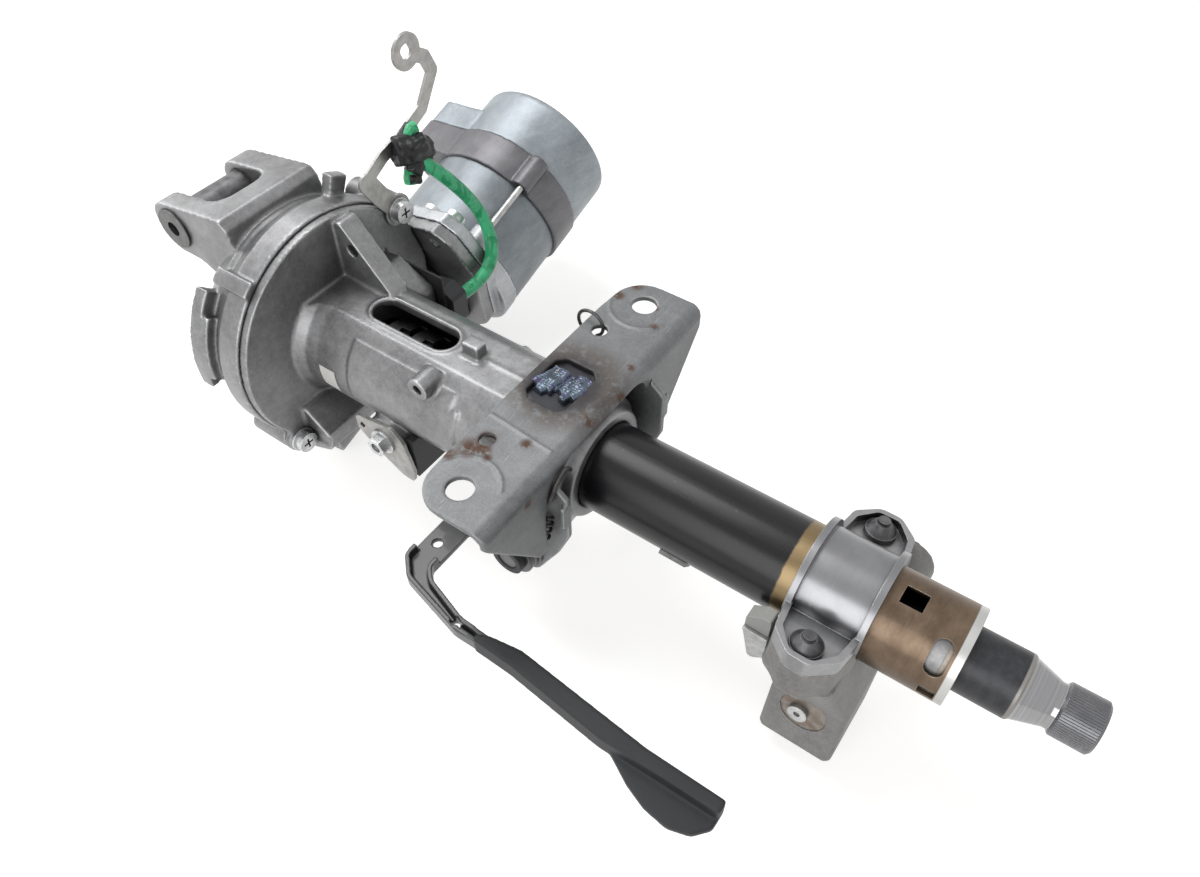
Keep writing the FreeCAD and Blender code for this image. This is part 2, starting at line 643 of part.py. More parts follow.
def input_shaft():
    """Shaft from the torsion bar up into the sliding spline."""
    bar = turned([(INPUT_SHAFT_START, 0), (INPUT_SHAFT_START, INPUT_SHAFT_R),
                  (SPLINE_START - 8, INPUT_SHAFT_R), (SPLINE_START, SPLINE_R),
                  (SPLINE_START, 0)])
    spline = gear_blank(SPLINE_START - 1, SPLINE_END, SPLINE_R, SPLINE_TOOTH, SPLINE_TEETH, 0.8)
    bore = along_x(INPUT_SHAFT_START - 1, TORSION_END, TORSION_R)
    return join([bar, spline]).cut(bore)


def sensor_rings():
    """Two notched rings on the input shaft that the torque sensor reads."""
    rings = []
    for start in (118.0, 134.0):
        plain = ring(start, start + 12, 19.0, INPUT_SHAFT_R)
        notches = []
        for index in range(8):
            y, z = polar(45.0 * index, 19.0)
            notches.append(along_x(start + 7, start + 13, 3.0, y, z))
        rings.append(cut(plain, notches))
    return group(rings)


def sensor_coil():
    """Coil body of the torque sensor, fixed in the cast tube."""
    return ring(100.0, 112.0, SENSOR_BORE_R, 17.0)


def worm_bearings():
    """Two ball bearings of the worm shaft, one at each end of the thread."""
    pieces = []
    for start in (WORM_START, WORM_START + WORM_BEARING_WIDTH + WORM_THREAD_LENGTH + 16):
        for piece in bearing(start, WORM_BEARING_WIDTH, WORM_BEARING_R, WORM_SHAFT_R + RUN, 7):
            piece.rotate(Vector(0, 0, 0), Vector(0, 0, 1), 90)
            piece.translate(Vector(WORM_X, 0, -CENTRE_DISTANCE))
            pieces.append(at_motor(piece))
    return group(pieces)


def worm_end_plug():
    """Screwed plug that closes the worm tunnel and loads its bearing."""
    body = motor_bar(TUNNEL_START + 4, WORM_START - 0.2, WORM_BEARING_R + 1.0)
    place = on_xz(TUNNEL_START + 4)
    socket = hex_bar(place, (WORM_X, -CENTRE_DISTANCE), 14.0, Vector(0, 5, 0))
    return at_motor(body.cut(socket))


def worm_thread():
    """The worm's threads round the core, drawn along Z before they are laid on the worm axis."""
    base = WORM_CORE_R - 0.4
    length = WORM_THREAD_LENGTH - LEAD / 2
    threads = []
    low = TOOTH_THICKNESS / 2 + (WORM_PITCH_R - base) * SLOPE
    high = TOOTH_THICKNESS / 2 - (WORM_TIP_R - WORM_PITCH_R) * SLOPE
    for start in range(WORM_STARTS):
        points = [Vector(base, 0, -low), Vector(WORM_TIP_R, 0, -high), Vector(WORM_TIP_R, 0, high),
                  Vector(base, 0, low)]
        profile = Part.makePolygon(points + points[:1])
        helix = Part.makeHelix(LEAD, length, WORM_PITCH_R)
        pipe = Part.Wire(helix.Edges).makePipeShell([profile], True, True)
        pipe.rotate(Vector(0, 0, 0), Vector(0, 0, 1), 360.0 * start / WORM_STARTS)
        threads.append(pipe)
    return threads


def worm_shaft():
    """Steel worm with two thread starts."""
    first = -3 * TOOTH_PITCH
    pieces = []
    for pipe in worm_thread():
        pipe.rotate(Vector(0, 0, 0), Vector(1, 0, 0), -90)
        pipe.translate(Vector(WORM_X, first, -CENTRE_DISTANCE))
        pieces.append(pipe)
    end = WORM_START + 2 * WORM_BEARING_WIDTH + WORM_THREAD_LENGTH + 16
    core = motor_bar(WORM_START + WORM_BEARING_WIDTH + 0.5, end - WORM_BEARING_WIDTH - 0.5, WORM_CORE_R)
    bar = motor_bar(WORM_START + 1, end + 6, WORM_SHAFT_R)
    return at_motor(join([core, bar] + pieces))


def worm_coupling():
    """Rubber jaw coupling between the worm and the motor shaft."""
    start = WORM_START + 2 * WORM_BEARING_WIDTH + WORM_THREAD_LENGTH + 16 + 1
    disc = motor_bar(start, start + 14, 10.0)
    return at_motor(disc.cut(motor_bar(start - 1, start + 15, WORM_SHAFT_R)))


def motor_rotor():
    """Rotor core on the motor's shaft."""
    start = WORM_START + 2 * WORM_BEARING_WIDTH + WORM_THREAD_LENGTH + 16 + 6.5
    shaft = motor_bar(start, CAP_END - 8, WORM_SHAFT_R)
    core = motor_bar(BODY_START + 8, BODY_END - 2, ROTOR_R)
    sleeve = motor_bar(BODY_END + 4, BODY_END + 18, ROTOR_R - 7)
    slots = []
    for index in range(10):
        turn = math.radians(36 * index)
        slots.append(motor_bar(BODY_START + 7, BODY_END - 1, 2.2, ROTOR_R * math.cos(turn),
                               ROTOR_R * math.sin(turn)))
    return at_motor(cut(join([shaft, core, sleeve]), slots))


def motor_stator():
    """Wound stator stack pressed into the motor body."""
    stack = motor_bar(BODY_START + 6, BODY_END - 1, MOTOR_R - MOTOR_WALL)
    return at_motor(stack.cut(motor_bar(BODY_START, BODY_END, STATOR_BORE_R)))


def motor_flange():
    """Front cover of the motor, bolted to the seat on the gear housing."""
    plate = motor_seat_plate(MOTOR_SEAT, MOTOR_FACE)
    drum = motor_bar(MOTOR_FACE - 2, BODY_START, MOTOR_R + 0.5)
    body = join([plate, drum])
    bore = motor_bar(MOTOR_SEAT - 1, BODY_START + 1, WORM_BEARING_R)
    room = motor_bar(MOTOR_FACE + 3, BODY_START + 1, MOTOR_R - MOTOR_WALL - 3)
    holes = [motor_bar(MOTOR_SEAT - 1, BODY_START + 1, SCREW_R, x, z) for x, z in motor_ears()]
    reliefs = [motor_bar(MOTOR_FACE, BODY_START + 1, SCREW_HEAD_R + 1.2, x, z) for x, z in motor_ears()]
    taps = [motor_bar(MOTOR_FACE, BODY_START + 6, 2.0, x, z) for x, z in through_spots()]
    clear = motor_bar(BODY_START, BODY_START + 6, MOTOR_R)
    ears = [motor_bar(MOTOR_FACE, BODY_START + 5, 7.5, x, z) for x, z in through_spots()]
    return at_motor(cut(join([body] + ears), [bore, room, clear] + holes + reliefs + taps))


def through_spots():
    """Offsets of the long motor bolts from the motor axis."""
    spots = []
    for angle in (48.5, 228.5):
        turn = math.radians(angle)
        spots.append((ROD_CIRCLE_R * math.cos(turn), ROD_CIRCLE_R * math.sin(turn)))
    return spots


def motor_body():
    """Drawn steel can of the motor."""
    can = motor_bar(BODY_START, BODY_END, MOTOR_R)
    return at_motor(can.cut(motor_bar(BODY_START, BODY_END, MOTOR_R - MOTOR_WALL)))


def electronics_lug(start, end, grow):
    """Lug on the side of the rear frames that carries the motor's plug."""
    points = [(-20.0, -6.0), (-52.0 - grow, -2.0), (-59.0 - grow, 8.0), (-59.0 - grow, 34.0 + grow),
              (-26.0, 38.5 + grow), (-10.0, 20.0)]
    moved = [(WORM_X + a, b - CENTRE_DISTANCE) for a, b in points]
    return slab(moved, [0, 4, 6, 5, 0, 0], on_xz(start), Vector(0, end - start, 0))


def motor_mid_frame():
    """Cast frame between the motor body and its end cap, with the plug lug."""
    drum = motor_bar(BODY_END, MID_END, MID_R)
    ears = [motor_bar(BODY_END, MID_END, 6.5, 0.94 * x, 0.94 * z) for x, z in through_spots()]
    body = join([drum, electronics_lug(BODY_END, MID_END, 0.5)] + ears)
    room = motor_bar(BODY_END + 3, MID_END + 1, MID_R - MOTOR_WALL - 2)
    bore = motor_bar(BODY_END - 1, BODY_END + 4, 17.0)
    holes = [motor_bar(BODY_END - 1, BODY_END + 14, 2.0, x, z) for x, z in through_spots()]
    return at_motor(cut(body, [room, bore] + holes))


def motor_end_cap():
    """Drawn end cap of the motor with the controller inside."""
    drum = motor_bar(MID_END, CAP_END, CAP_R)
    drum = drum.makeFillet(4.0, [edge for edge in drum.Edges if edge.BoundBox.YMin > CAP_END - 1])
    body = join([drum, electronics_lug(MID_END, MID_END + 18, 0.0)])
    room = motor_bar(MID_END - 1, CAP_END - 3, CAP_R - MOTOR_WALL)
    return at_motor(body.cut(room))


def motor_rear_bearing():
    """Bearing plate that carries the rotor's rear end in the cap."""
    start = CAP_END - 14
    plate = motor_bar(start, start + 5, CAP_R - MOTOR_WALL)
    return at_motor(plate.cut(motor_bar(start - 1, start + 6, WORM_SHAFT_R + RUN)))


def motor_through_bolts():
    """Long studs between the motor's frames, each with a hexagon collar at the flange."""
    bolts = []
    for x, z in through_spots():
        shank = motor_bar(MOTOR_FACE + 2, BODY_END + 13, 2.0, x, z)
        spot = (WORM_X + x, z - CENTRE_DISTANCE)
        collar = hex_bar(on_xz(BODY_START + 5), spot, 7.0, Vector(0, 4.0, 0))
        bolts.append(at_motor(join([shank, collar])))
    return group(bolts)


def motor_screws():
    """Screws that hold the motor to the gear housing."""
    screws = []
    for x, z in motor_ears():
        shank = motor_bar(MOTOR_SEAT - 7, MOTOR_FACE, SCREW_R, x, z)
        washer = motor_bar(MOTOR_FACE, MOTOR_FACE + 1.2, SCREW_HEAD_R + 0.7, x, z)
        head = motor_bar(MOTOR_FACE + 1.2, MOTOR_FACE + 5.5, SCREW_HEAD_R - 0.8, x, z)
        screws.append(at_motor(join([shank, washer, head])))
    return group(screws)


def jacket_tube():
    """Jacket tube with its windows near the wheel end."""
    tube = ring(TUBE_START, TUBE_END, TUBE_R, TUBE_BORE)
    window = block((TUBE_END - 32, TUBE_END - 22), (-6.0, 3.0), (10.0, 30.0))
    arc = sector(TUBE_END - 13, TUBE_END - 5, TUBE_R + 1, TUBE_BORE - 1, 127.0, 150.0)
    ends = []
    for angle in (127.0, 150.0):
        ends.append(Part.makeCylinder(4.0, 8.0, Vector(TUBE_END - 9, *polar(angle, TUBE_BORE - 4)),
                                      Vector(0, *polar(angle, 1.0))))
    notch = sector(TUBE_END - 11, TUBE_END - 4, TUBE_R + 1, TUBE_BORE - 1, 180.0, 200.0)
    way = block((LOCK_BOLT_X - 7, LOCK_BOLT_X + 7), (-6.5, 6.5), (-30.0, -10.0))
    key = block((TUBE_END - 178, TUBE_END - 84), (-27.0, -15.0), (-15.0, -11.0))
    key = key.cut(along_x(TUBE_START, TUBE_END, TUBE_R - 0.8))
    return cut(tube, [window, arc, notch, at_lock(way), key] + ends)


def jacket_stop():
    """Small stop riveted under the jacket tube that limits its slide."""
    y, z = polar(222.0, TUBE_R)
    plate = block((TUBE_END - 136, TUBE_END - 122), (-4.0, 4.0), (0.0, 2.2))
    plate.rotate(Vector(0, 0, 0), Vector(1, 0, 0), 222.0 - 90.0)
    plate.translate(Vector(0, y * 0.985, z * 0.985))
    return plate.cut(along_x(TUBE_START, TUBE_END, TUBE_R))


def upper_bearing():
    """Ball bearing of the steering shaft at the top of the jacket tube."""
    return group(bearing(UPPER_BEARING_X, UPPER_BEARING_WIDTH, TUBE_BORE, UPPER_SHAFT_R + RUN))


def bearing_retainer():
    """Spring ring that holds the upper bearing in the tube."""
    start = UPPER_BEARING_X + UPPER_BEARING_WIDTH
    return ring(start, TUBE_END - 1.5, TUBE_BORE, NECK_R + FREE)


def upper_shaft():
    """Steering shaft with the sliding spline bore and the serrated wheel seat."""
    neck_start = UPPER_BEARING_X + UPPER_BEARING_WIDTH + GAP
    bar = turned([(UPPER_SHAFT_START, 0), (UPPER_SHAFT_START, UPPER_SHAFT_R),
                  (neck_start, UPPER_SHAFT_R), (neck_start, NECK_R), (NECK_END - 1, NECK_R),
                  (NECK_END, NECK_R - 0.8), (CONE_END - 2, TIP_R - 1.5), (CONE_END, TIP_R - 1.5),
                  (CONE_END, 0)])
    bar = bar.common(along_x(UPPER_SHAFT_START, CONE_END, NECK_R + 1))
    tip = turned([(CONE_END, 0), (CONE_END, TIP_R - 1.0), (CONE_END + 1.0, TIP_R),
                  (TIP_END - 1.2, TIP_R), (TIP_END, TIP_R - 1.2), (TIP_END, 0)])
    tip = tip.cut(v_grooves(CONE_END - 1, TIP_END + 1, TIP_R, TIP_TOOTH, TIP_TEETH, GROOVE_SHARE))
    bore_end = SPLINE_END + TUBE_TRAVEL + 8
    bore = gear_blank(UPPER_SHAFT_START - 1, bore_end, SPLINE_R + RUN, SPLINE_TOOTH, SPLINE_TEETH, 0.8)
    groove = gear_blank(UPPER_SHAFT_START - 1, bore_end, SPLINE_R + RUN, SPLINE_TOOTH + 0.2,
                        SPLINE_TEETH, 0.9)
    nut_hole = along_x(TIP_END - TIP_THREAD_DEPTH, TIP_END + 1, TIP_THREAD_R)
    return cut(join([bar, tip]), [bore, groove, nut_hole])


def lock_collar():
    """Slotted collar on the steering shaft that the lock bolt enters."""
    start = LOCK_BOLT_X - 10
    body = ring(start, start + 20, COLLAR_LOCK_R, UPPER_SHAFT_R)
    slots = []
    for index in range(COLLAR_SLOTS):
        slot = block((LOCK_BOLT_X - LOCK_BOLT_HALF - FREE, LOCK_BOLT_X + LOCK_BOLT_HALF + FREE),
                     (-3.6, 3.6), (-COLLAR_LOCK_R - 1, -UPPER_SHAFT_R - 0.8))
        slot.rotate(Vector(0, 0, 0), Vector(1, 0, 0), index * 360.0 / COLLAR_SLOTS)
        slots.append(at_lock(slot))
    return cut(body, slots)


def ear_plan(grow):
    """Plan of the clamp with an ear at each side."""
    middle = (LOCK_START + LOCK_END) / 2
    half = (LOCK_END - LOCK_START) / 2
    reach = EAR_BOLT_Y + EAR_EDGE_R
    return [(middle - half + grow, -20.0), (middle - half * 0.85 + grow, -reach + 9 + grow),
            (middle - 5.0, -reach + grow), (middle + 5.0, -reach + grow),
            (middle + half * 0.85 - grow, -reach + 9 + grow), (middle + half - grow, -20.0),
            (middle + half - grow, 20.0), (middle + half * 0.85 - grow, reach - 9 - grow),
            (middle + 5.0, reach - grow), (middle - 5.0, reach - grow),
            (middle - half * 0.85 + grow, reach - 9 - grow), (middle - half + grow, 20.0)]


def lock_clamp_cap():
    """Upper half of the steering lock's clamp, with two rims and two ears."""
    band = ring(LOCK_START, LOCK_END, TUBE_R + BAND_THICK, TUBE_R)
    rims = [ring(LOCK_START, LOCK_START + RIM_WIDTH, TUBE_R + BAND_RIM, TUBE_R),
            ring(LOCK_END - RIM_WIDTH, LOCK_END, TUBE_R + BAND_RIM, TUBE_R)]
    upper = block((LOCK_START - 1, LOCK_END + 1), (-60, 60), (0.4, 60))
    arch = join([band] + rims).common(upper)
    plate = slab(ear_plan(0), [0, 6, 6, 6, 6, 0, 0, 6, 6, 6, 6, 0], on_xy(0.4), Vector(0, 0, 3.0))
    wall = slab(ear_plan(0), [0, 6, 6, 6, 6, 0, 0, 6, 6, 6, 6, 0], on_xy(0.4), Vector(0, 0, 7.5))
    room = slab(ear_plan(2.6), [0, 4, 4, 4, 4, 0, 0, 4, 4, 4, 4, 0], on_xy(3.4), Vector(0, 0, 9))
    middle = block((LOCK_START - 1, LOCK_END + 1), (-TUBE_R - 3, TUBE_R + 3), (-1, 30))
    edge = cut(wall, [room, middle])
    holes = [along_z(-1, 12, 4.0, LOCK_BOLT_X, side * EAR_BOLT_Y) for side in (-1, 1)]
    body = join([arch, plate, edge])
    return at_lock(cut(body, [along_x(LOCK_START - 1, LOCK_END + 1, TUBE_R)] + holes))


def shear_bolts():
    """Two shear bolts whose heads have been broken off to a cone."""
    bolts = []
    for side in (-1, 1):
        y = side * EAR_BOLT_Y
        shank = along_z(-24.0, 3.4, 4.0, LOCK_BOLT_X, y)
        flange = along_z(3.4, 6.0, 7.4, LOCK_BOLT_X, y)
        cone = Part.makeCone(7.0, 3.6, 4.4, Vector(LOCK_BOLT_X, y, 6.0), Vector(0, 0, 1))
        stub = along_z(10.4, 12.0, 2.8, LOCK_BOLT_X, y)
        bolts.append(at_lock(join([shank, flange, cone, stub])))
    return group(bolts)


def lock_housing():
    """Zinc body of the steering lock, clamped under the jacket tube."""
    saddle = slab(ear_plan(0), [0, 6, 6, 6, 6, 0, 0, 6, 6, 6, 6, 0], on_xy(-16.0), Vector(0, 0, 16.0))
    start = (LOCK_START + 1.0, LOCK_END - 1.0)
    upper = [(start[0], -46.0), (start[1], -46.0), (start[1], 46.0), (start[0], 46.0)]
    lower = [(LOCK_BOX_START, LOCK_BOX_FRONT), (LOCK_BOX_END, LOCK_BOX_FRONT),
             (LOCK_BOX_END, LOCK_BOX_REAR), (LOCK_BOX_START, LOCK_BOX_REAR)]
    taper = Part.makeLoft([outline(upper, 7.0, on_xy(-14.0)), outline(lower, 4.0, on_xy(LOCK_SHOULDER))],
                          True, True)
    box = slab(lower, 4.0, on_xy(LOCK_LOW), Vector(0, 0, LOCK_SHOULDER - LOCK_LOW))
    lobe = along_y(20.0, 52.0, 14.0, LOCK_BOX_END - 12, -16.0)
    body = join([saddle, taper, box, lobe])
    tube_room = along_x(LOCK_START - 5, LOCK_END + 20, TUBE_R)
    inner = [(LOCK_BOX_START + LOCK_WALL, LOCK_BOX_FRONT + LOCK_WALL),
             (LOCK_BOX_END - LOCK_WALL, LOCK_BOX_FRONT + LOCK_WALL),
             (LOCK_BOX_END - LOCK_WALL, LOCK_BOX_REAR - LOCK_WALL),
             (LOCK_BOX_START + LOCK_WALL, LOCK_BOX_REAR - LOCK_WALL)]
    room = slab(inner, 2.0, on_xy(LOCK_LOW + LOCK_WALL), Vector(0, 0, 33.0))
    half = LOCK_BOLT_HALF + RUN
    guide = block((LOCK_BOLT_X - half, LOCK_BOLT_X + half), (-half + 1, half - 1), (-60.0, 0.0))
    holes = [along_z(-25.0, 1.0, 4.0, LOCK_BOLT_X, side * EAR_BOLT_Y) for side in (-1, 1)]
    side_hole = along_y(LOCK_BOX_FRONT - 1, LOCK_BOX_FRONT + 5, 11.0, LOCK_BOLT_X + 7, LOCK_LOW + 25)
    return at_lock(cut(body, [tube_room, room, guide, side_hole] + holes))


def lock_cover():
    """Pressed cover in the side of the steering lock."""
    x = LOCK_BOLT_X + 7
    z = LOCK_LOW + 25
    plate = along_y(LOCK_BOX_FRONT + 0.8, LOCK_BOX_FRONT + 3.0, 11.0, x, z)
    hole = along_y(LOCK_BOX_FRONT, LOCK_BOX_FRONT + 9, 2.2, x - 2, z - 1)
    return at_lock(plate.cut(hole))


def lock_screw():
    """Recessed screw in the lock's side cover."""
    x = LOCK_BOLT_X + 5
    z = LOCK_LOW + 24
    shank = along_y(LOCK_BOX_FRONT + 0.8, LOCK_BOX_FRONT + 7, 2.2, x, z)
    head = along_y(LOCK_BOX_FRONT - 1.4, LOCK_BOX_FRONT + 0.8, 4.6, x, z)
    cone = along_y(LOCK_BOX_FRONT - 2, LOCK_BOX_FRONT - 0.4, 1.6, x, z)
    return at_lock(join([shank, head]).cut(cone))


def lock_bolt():
    """Sliding bolt that enters a slot of the lock collar, with its plunger below."""
    half = LOCK_BOLT_HALF
    top = -COLLAR_LOCK_R - GAP - 0.5
    blade = block((LOCK_BOLT_X - half, LOCK_BOLT_X + half), (-half + 1, half - 1), (-52.0, top))
    stem = along_z(-74.0, -52.0, 2.8, LOCK_BOLT_X, 0)
    flange = along_z(-54.5, -52.0, 4.6, LOCK_BOLT_X, 0)
    return at_lock(join([blade, stem, flange]).cut(along_z(-75.0, -64.0, 1.6, LOCK_BOLT_X, 0)))


def lock_solenoid():
    """Coil that draws the lock bolt's plunger."""
    coil = along_z(LOCK_LOW + LOCK_WALL, -57.0, LOCK_BOLT_X - LOCK_BOX_START - LOCK_WALL, LOCK_BOLT_X, 0)
    return at_lock(coil.cut(along_z(LOCK_LOW - 1, -50.0, 3.2, LOCK_BOLT_X, 0)))


def lock_plug():
    """White plug body of the steering lock's lead."""
    return slab([(LOCK_START - 12, -9.0), (LOCK_START - 0.5, -9.0), (LOCK_START - 0.5, 2.0),
                 (LOCK_START - 5, 2.0), (LOCK_START - 12, -3.0)], [0, 0, 1, 1, 1], on_xz(-33.0),
                Vector(0, 7.0, 0))


def lock_plug_clip():
    """Sheet clip that holds the plug to the lock housing."""
    plate = slab([(LOCK_START - 12, -9.0), (LOCK_START, -9.0), (LOCK_START, -24.0),
                  (LOCK_START - 7, -30.0)], [1, 0, 0, 2], on_xz(-35.0), Vector(0, 1.6, 0))
    foot = block((LOCK_START - 1.6, LOCK_START), (-35.0, -24.0), (-22.0, -9.0))
    shelf = block((LOCK_START - 12, LOCK_START), (-35.0, -25.0), (-10.6, -9.0))
    return join([plate, foot, shelf])


def plate_plan():
    """Plan of the mounting plate."""
    waist = 56.0
    return [(PLATE_REAR, -waist), (PLATE_REAR + 2, -PLATE_HALF), (PLATE_FOLD, -PLATE_HALF),
            (PLATE_FOLD, PLATE_HALF), (PLATE_REAR + 2, PLATE_HALF), (PLATE_REAR, waist)]


def mounting_bracket():
    """Pressed plate with two bolt ears and a folded front flange."""
    fold = 7.0
    profile = [(PLATE_REAR - 2, PLATE_TOP), (PLATE_FOLD, PLATE_TOP), (PLATE_FOLD, FLANGE_LOW),
               (PLATE_FOLD - PLATE_THICK, FLANGE_LOW), (PLATE_FOLD - PLATE_THICK, PLATE_LOW),
               (PLATE_REAR - 2, PLATE_LOW)]
    sheet = slab(profile, [0, fold, 0, 0, fold - PLATE_THICK, 0], on_xz(-PLATE_HALF),
                 Vector(0, 2 * PLATE_HALF, 0))
    plan = slab(plate_plan(), [0, 17, 3, 3, 17, 0], on_xy(FLANGE_LOW - 5), Vector(0, 0, 80))
    front = [(-PLATE_HALF, PLATE_TOP + 1), (-PLATE_HALF, PLATE_LOW - 6), (-ARCH_HALF - 6, FLANGE_LOW),
             (-ARCH_HALF, FLANGE_LOW), (-ARCH_HALF, 10.0), (-30.0, PLATE_LOW - 2.5),
             (30.0, PLATE_LOW - 2.5), (ARCH_HALF, 10.0), (ARCH_HALF, FLANGE_LOW),
             (ARCH_HALF + 6, FLANGE_LOW), (PLATE_HALF, PLATE_LOW - 6), (PLATE_HALF, PLATE_TOP + 1)]
    face = slab(front, [0, 4, 3, 2, 12, 12, 12, 12, 2, 3, 4, 0], on_yz(PLATE_REAR - 5),
                Vector(60, 0, 0))
    sheet = sheet.common(plan).common(face)
    bolts = [along_z(0, 60, BOLT_HOLE_R, BOLT_X, side * BOLT_Y) for side in (-1, 1)]
    small = [along_z(0, 60, SMALL_HOLE_R, SMALL_HOLE_X, side * SMALL_HOLE_Y) for side in (-1, 1)]
    low, high = WINDOW_Y - WINDOW_HALF, WINDOW_Y + WINDOW_HALF
    window = slab([(WINDOW_START, low + 4), (WINDOW_START + 4, low), (WINDOW_END - 4, low),
                   (WINDOW_END, low + 4), (WINDOW_END, high - 4), (WINDOW_END - 4, high),
                   (WINDOW_START + 4, high), (WINDOW_START, high - 4)], 1.5, on_xy(0),
                  Vector(0, 0, 60))
    return cut(sheet, bolts + small + [window])


def slot_tool(radius):
    """Arc slot swept by the tilt bolt as the column tilts about the lower pivot."""
    spots = []
    for share in (0.0, 0.5, 1.0):
        turn = math.radians(TILT_RANGE * share)
        dx, dz = TILT_X, TILT_Z - PIVOT_Z
        spots.append((dx * math.cos(turn) + dz * math.sin(turn),
                      PIVOT_Z - dx * math.sin(turn) + dz * math.cos(turn)))
    ends = [along_y(-60, 60, radius, x, z) for x, z in spots]
    run = Vector(spots[2][0] - spots[0][0], spots[2][1] - spots[0][1], 0).normalize()
    side = Vector(-run.y, run.x, 0) * radius
    points = [(spots[0][0] + side.x, spots[0][1] + side.y), (spots[2][0] + side.x, spots[2][1] + side.y),
              (spots[2][0] - side.x, spots[2][1] - side.y), (spots[0][0] - side.x, spots[0][1] - side.y)]
    return join([slab(points, 0, on_xz(-60), Vector(0, 120, 0))] + ends)


def tilt_bracket():
    """Channel welded under the mounting plate, whose slotted legs guide the tilt bolt."""
    web = block((PLATE_REAR + 2, PLATE_FOLD - 12), (-LEG_OUTER, LEG_OUTER), (PLATE_LOW - 2.5, PLATE_LOW))
    leg = [(PLATE_REAR + 2, PLATE_LOW), (PLATE_FOLD - 5, PLATE_LOW), (PLATE_FOLD + 1, 24.0),
           (PLATE_FOLD + 8, 18.0), (PLATE_FOLD + 8, -8.0), (PLATE_FOLD + 1, TILT_Z + 10),
           (TILT_X + 8, TILT_Z - 17), (TILT_X - 12, TILT_Z - 17), (PLATE_REAR + 6, TILT_Z + 8)]
    legs = []
    for side in (-LEG_OUTER, LEG_INNER):
        legs.append(slab(leg, [0, 0, 2, 5, 8, 8, 8, 8, 8], on_xz(side), Vector(0, LEG_THICK, 0)))
    hooks = [block((PLATE_FOLD + 5.5, PLATE_FOLD + 8), sorted_pair(side, 6.0), (2.0, 16.0))
             for side in (-LEG_INNER, LEG_INNER)]
    return cut(join([web] + legs + hooks), [slot_tool(TILT_BOLT_R + GAP), mounting_bracket()])


def sorted_pair(edge, reach):
    """Limits of a tab that stands outwards from an edge."""
    return tuple(sorted((edge, edge + math.copysign(reach, edge))))


def weld_beads():
    """Two weld beads that join the plate to the channel through the window."""
    beads = []
    for x in (WINDOW_START + 4.0, WINDOW_END - 4.0):
        bead = Part.makeSphere(5.0)
        stretch = FreeCAD.Matrix()
        stretch.scale(0.9, 2.1, 0.62)
        bead = bead.transformGeometry(stretch)
        bead.translate(Vector(x, WINDOW_Y, PLATE_LOW + 0.6))
        bead = bead.common(block((x - 20, x + 20), (-40, 40), (PLATE_LOW, PLATE_TOP + 5)))
        beads.append(bead.cut(mounting_bracket()))
    return group(beads)


def wire_ring():
    """Open wire ring hooked through the small hole at the motor side of the plate."""
    side = SMALL_HOLE_Y + SMALL_HOLE_R - WIRE_R
    centre = Vector(SMALL_HOLE_X - WIRE_RING_R, side, PLATE_TOP - PLATE_THICK / 2)
    hoop = Part.makeTorus(WIRE_RING_R, WIRE_R, centre, Vector(0, 1, 0))
    gap = block((centre.x - 3, centre.x + 3), (centre.y - 5, centre.y + 5), (centre.z - 14, centre.z - 4))
    return hoop.cut(gap)


def tilt_bolt():
    """Cross bolt of the tilt clamp."""
    end = LEG_OUTER + CAM_THICK * 2 + LEVER_THICK + 4
    shank = along_y(-end, LEG_OUTER + 10, TILT_BOLT_R, TILT_X, TILT_Z)
    return shank


def tilt_nut():
    """Nut and washer at the motor side of the tilt bolt."""
    nut = hex_bar(on_xz(LEG_OUTER + 2.2), (TILT_X, TILT_Z), 16.0, Vector(0, 7, 0))
    washer = along_y(LEG_OUTER + GAP, LEG_OUTER + 2.2, 11.0, TILT_X, TILT_Z)
    return join([nut, washer]).cut(along_y(0, 80, TILT_BOLT_R, TILT_X, TILT_Z))


def fixed_cam():
    """Cam plate that keeps its angle on the tilt bolt."""
    start = -LEG_OUTER - GAP - CAM_THICK
    disc = along_y(start, start + CAM_THICK, CAM_R, TILT_X, TILT_Z)
    return disc.cut(along_y(-80, 0, TILT_BOLT_R, TILT_X, TILT_Z))


def moving_cam():
    """Cam plate that turns with the tilt lever."""
    start = -LEG_OUTER - 2 * GAP - 2 * CAM_THICK
    disc = along_y(start, start + CAM_THICK, CAM_R - 1, TILT_X, TILT_Z)
    return disc.cut(along_y(-80, 0, TILT_BOLT_R + RUN, TILT_X, TILT_Z))


def lever_wrist(low, high, inset=0.0):
    """Part of the lever arm's foot, bend and run to the handle, between two heights."""
    half = LEVER_WIDTH / 2
    back = LEVER_BACK
    face = LEVER_FACE
    points = [(back - half, face), (back + half, face), (back + half, -77.0), (back + 14, -82.5),
              (back + 38, -90.0), (HANDLE_START + 24, -92.0), (HANDLE_START + 24, -96.0),
              (back + 40, -97.5), (back + 2, -88.5), (back - half, -79.0)]
    wire = outline(points, [0, 0, 5, 8, 15, 0, 0, 15, 8, 6], on_xy(low))
    if inset:
        wire = wire.makeOffset2D(-inset)
    return Part.Face(wire).extrude(Vector(0, 0, high - low))


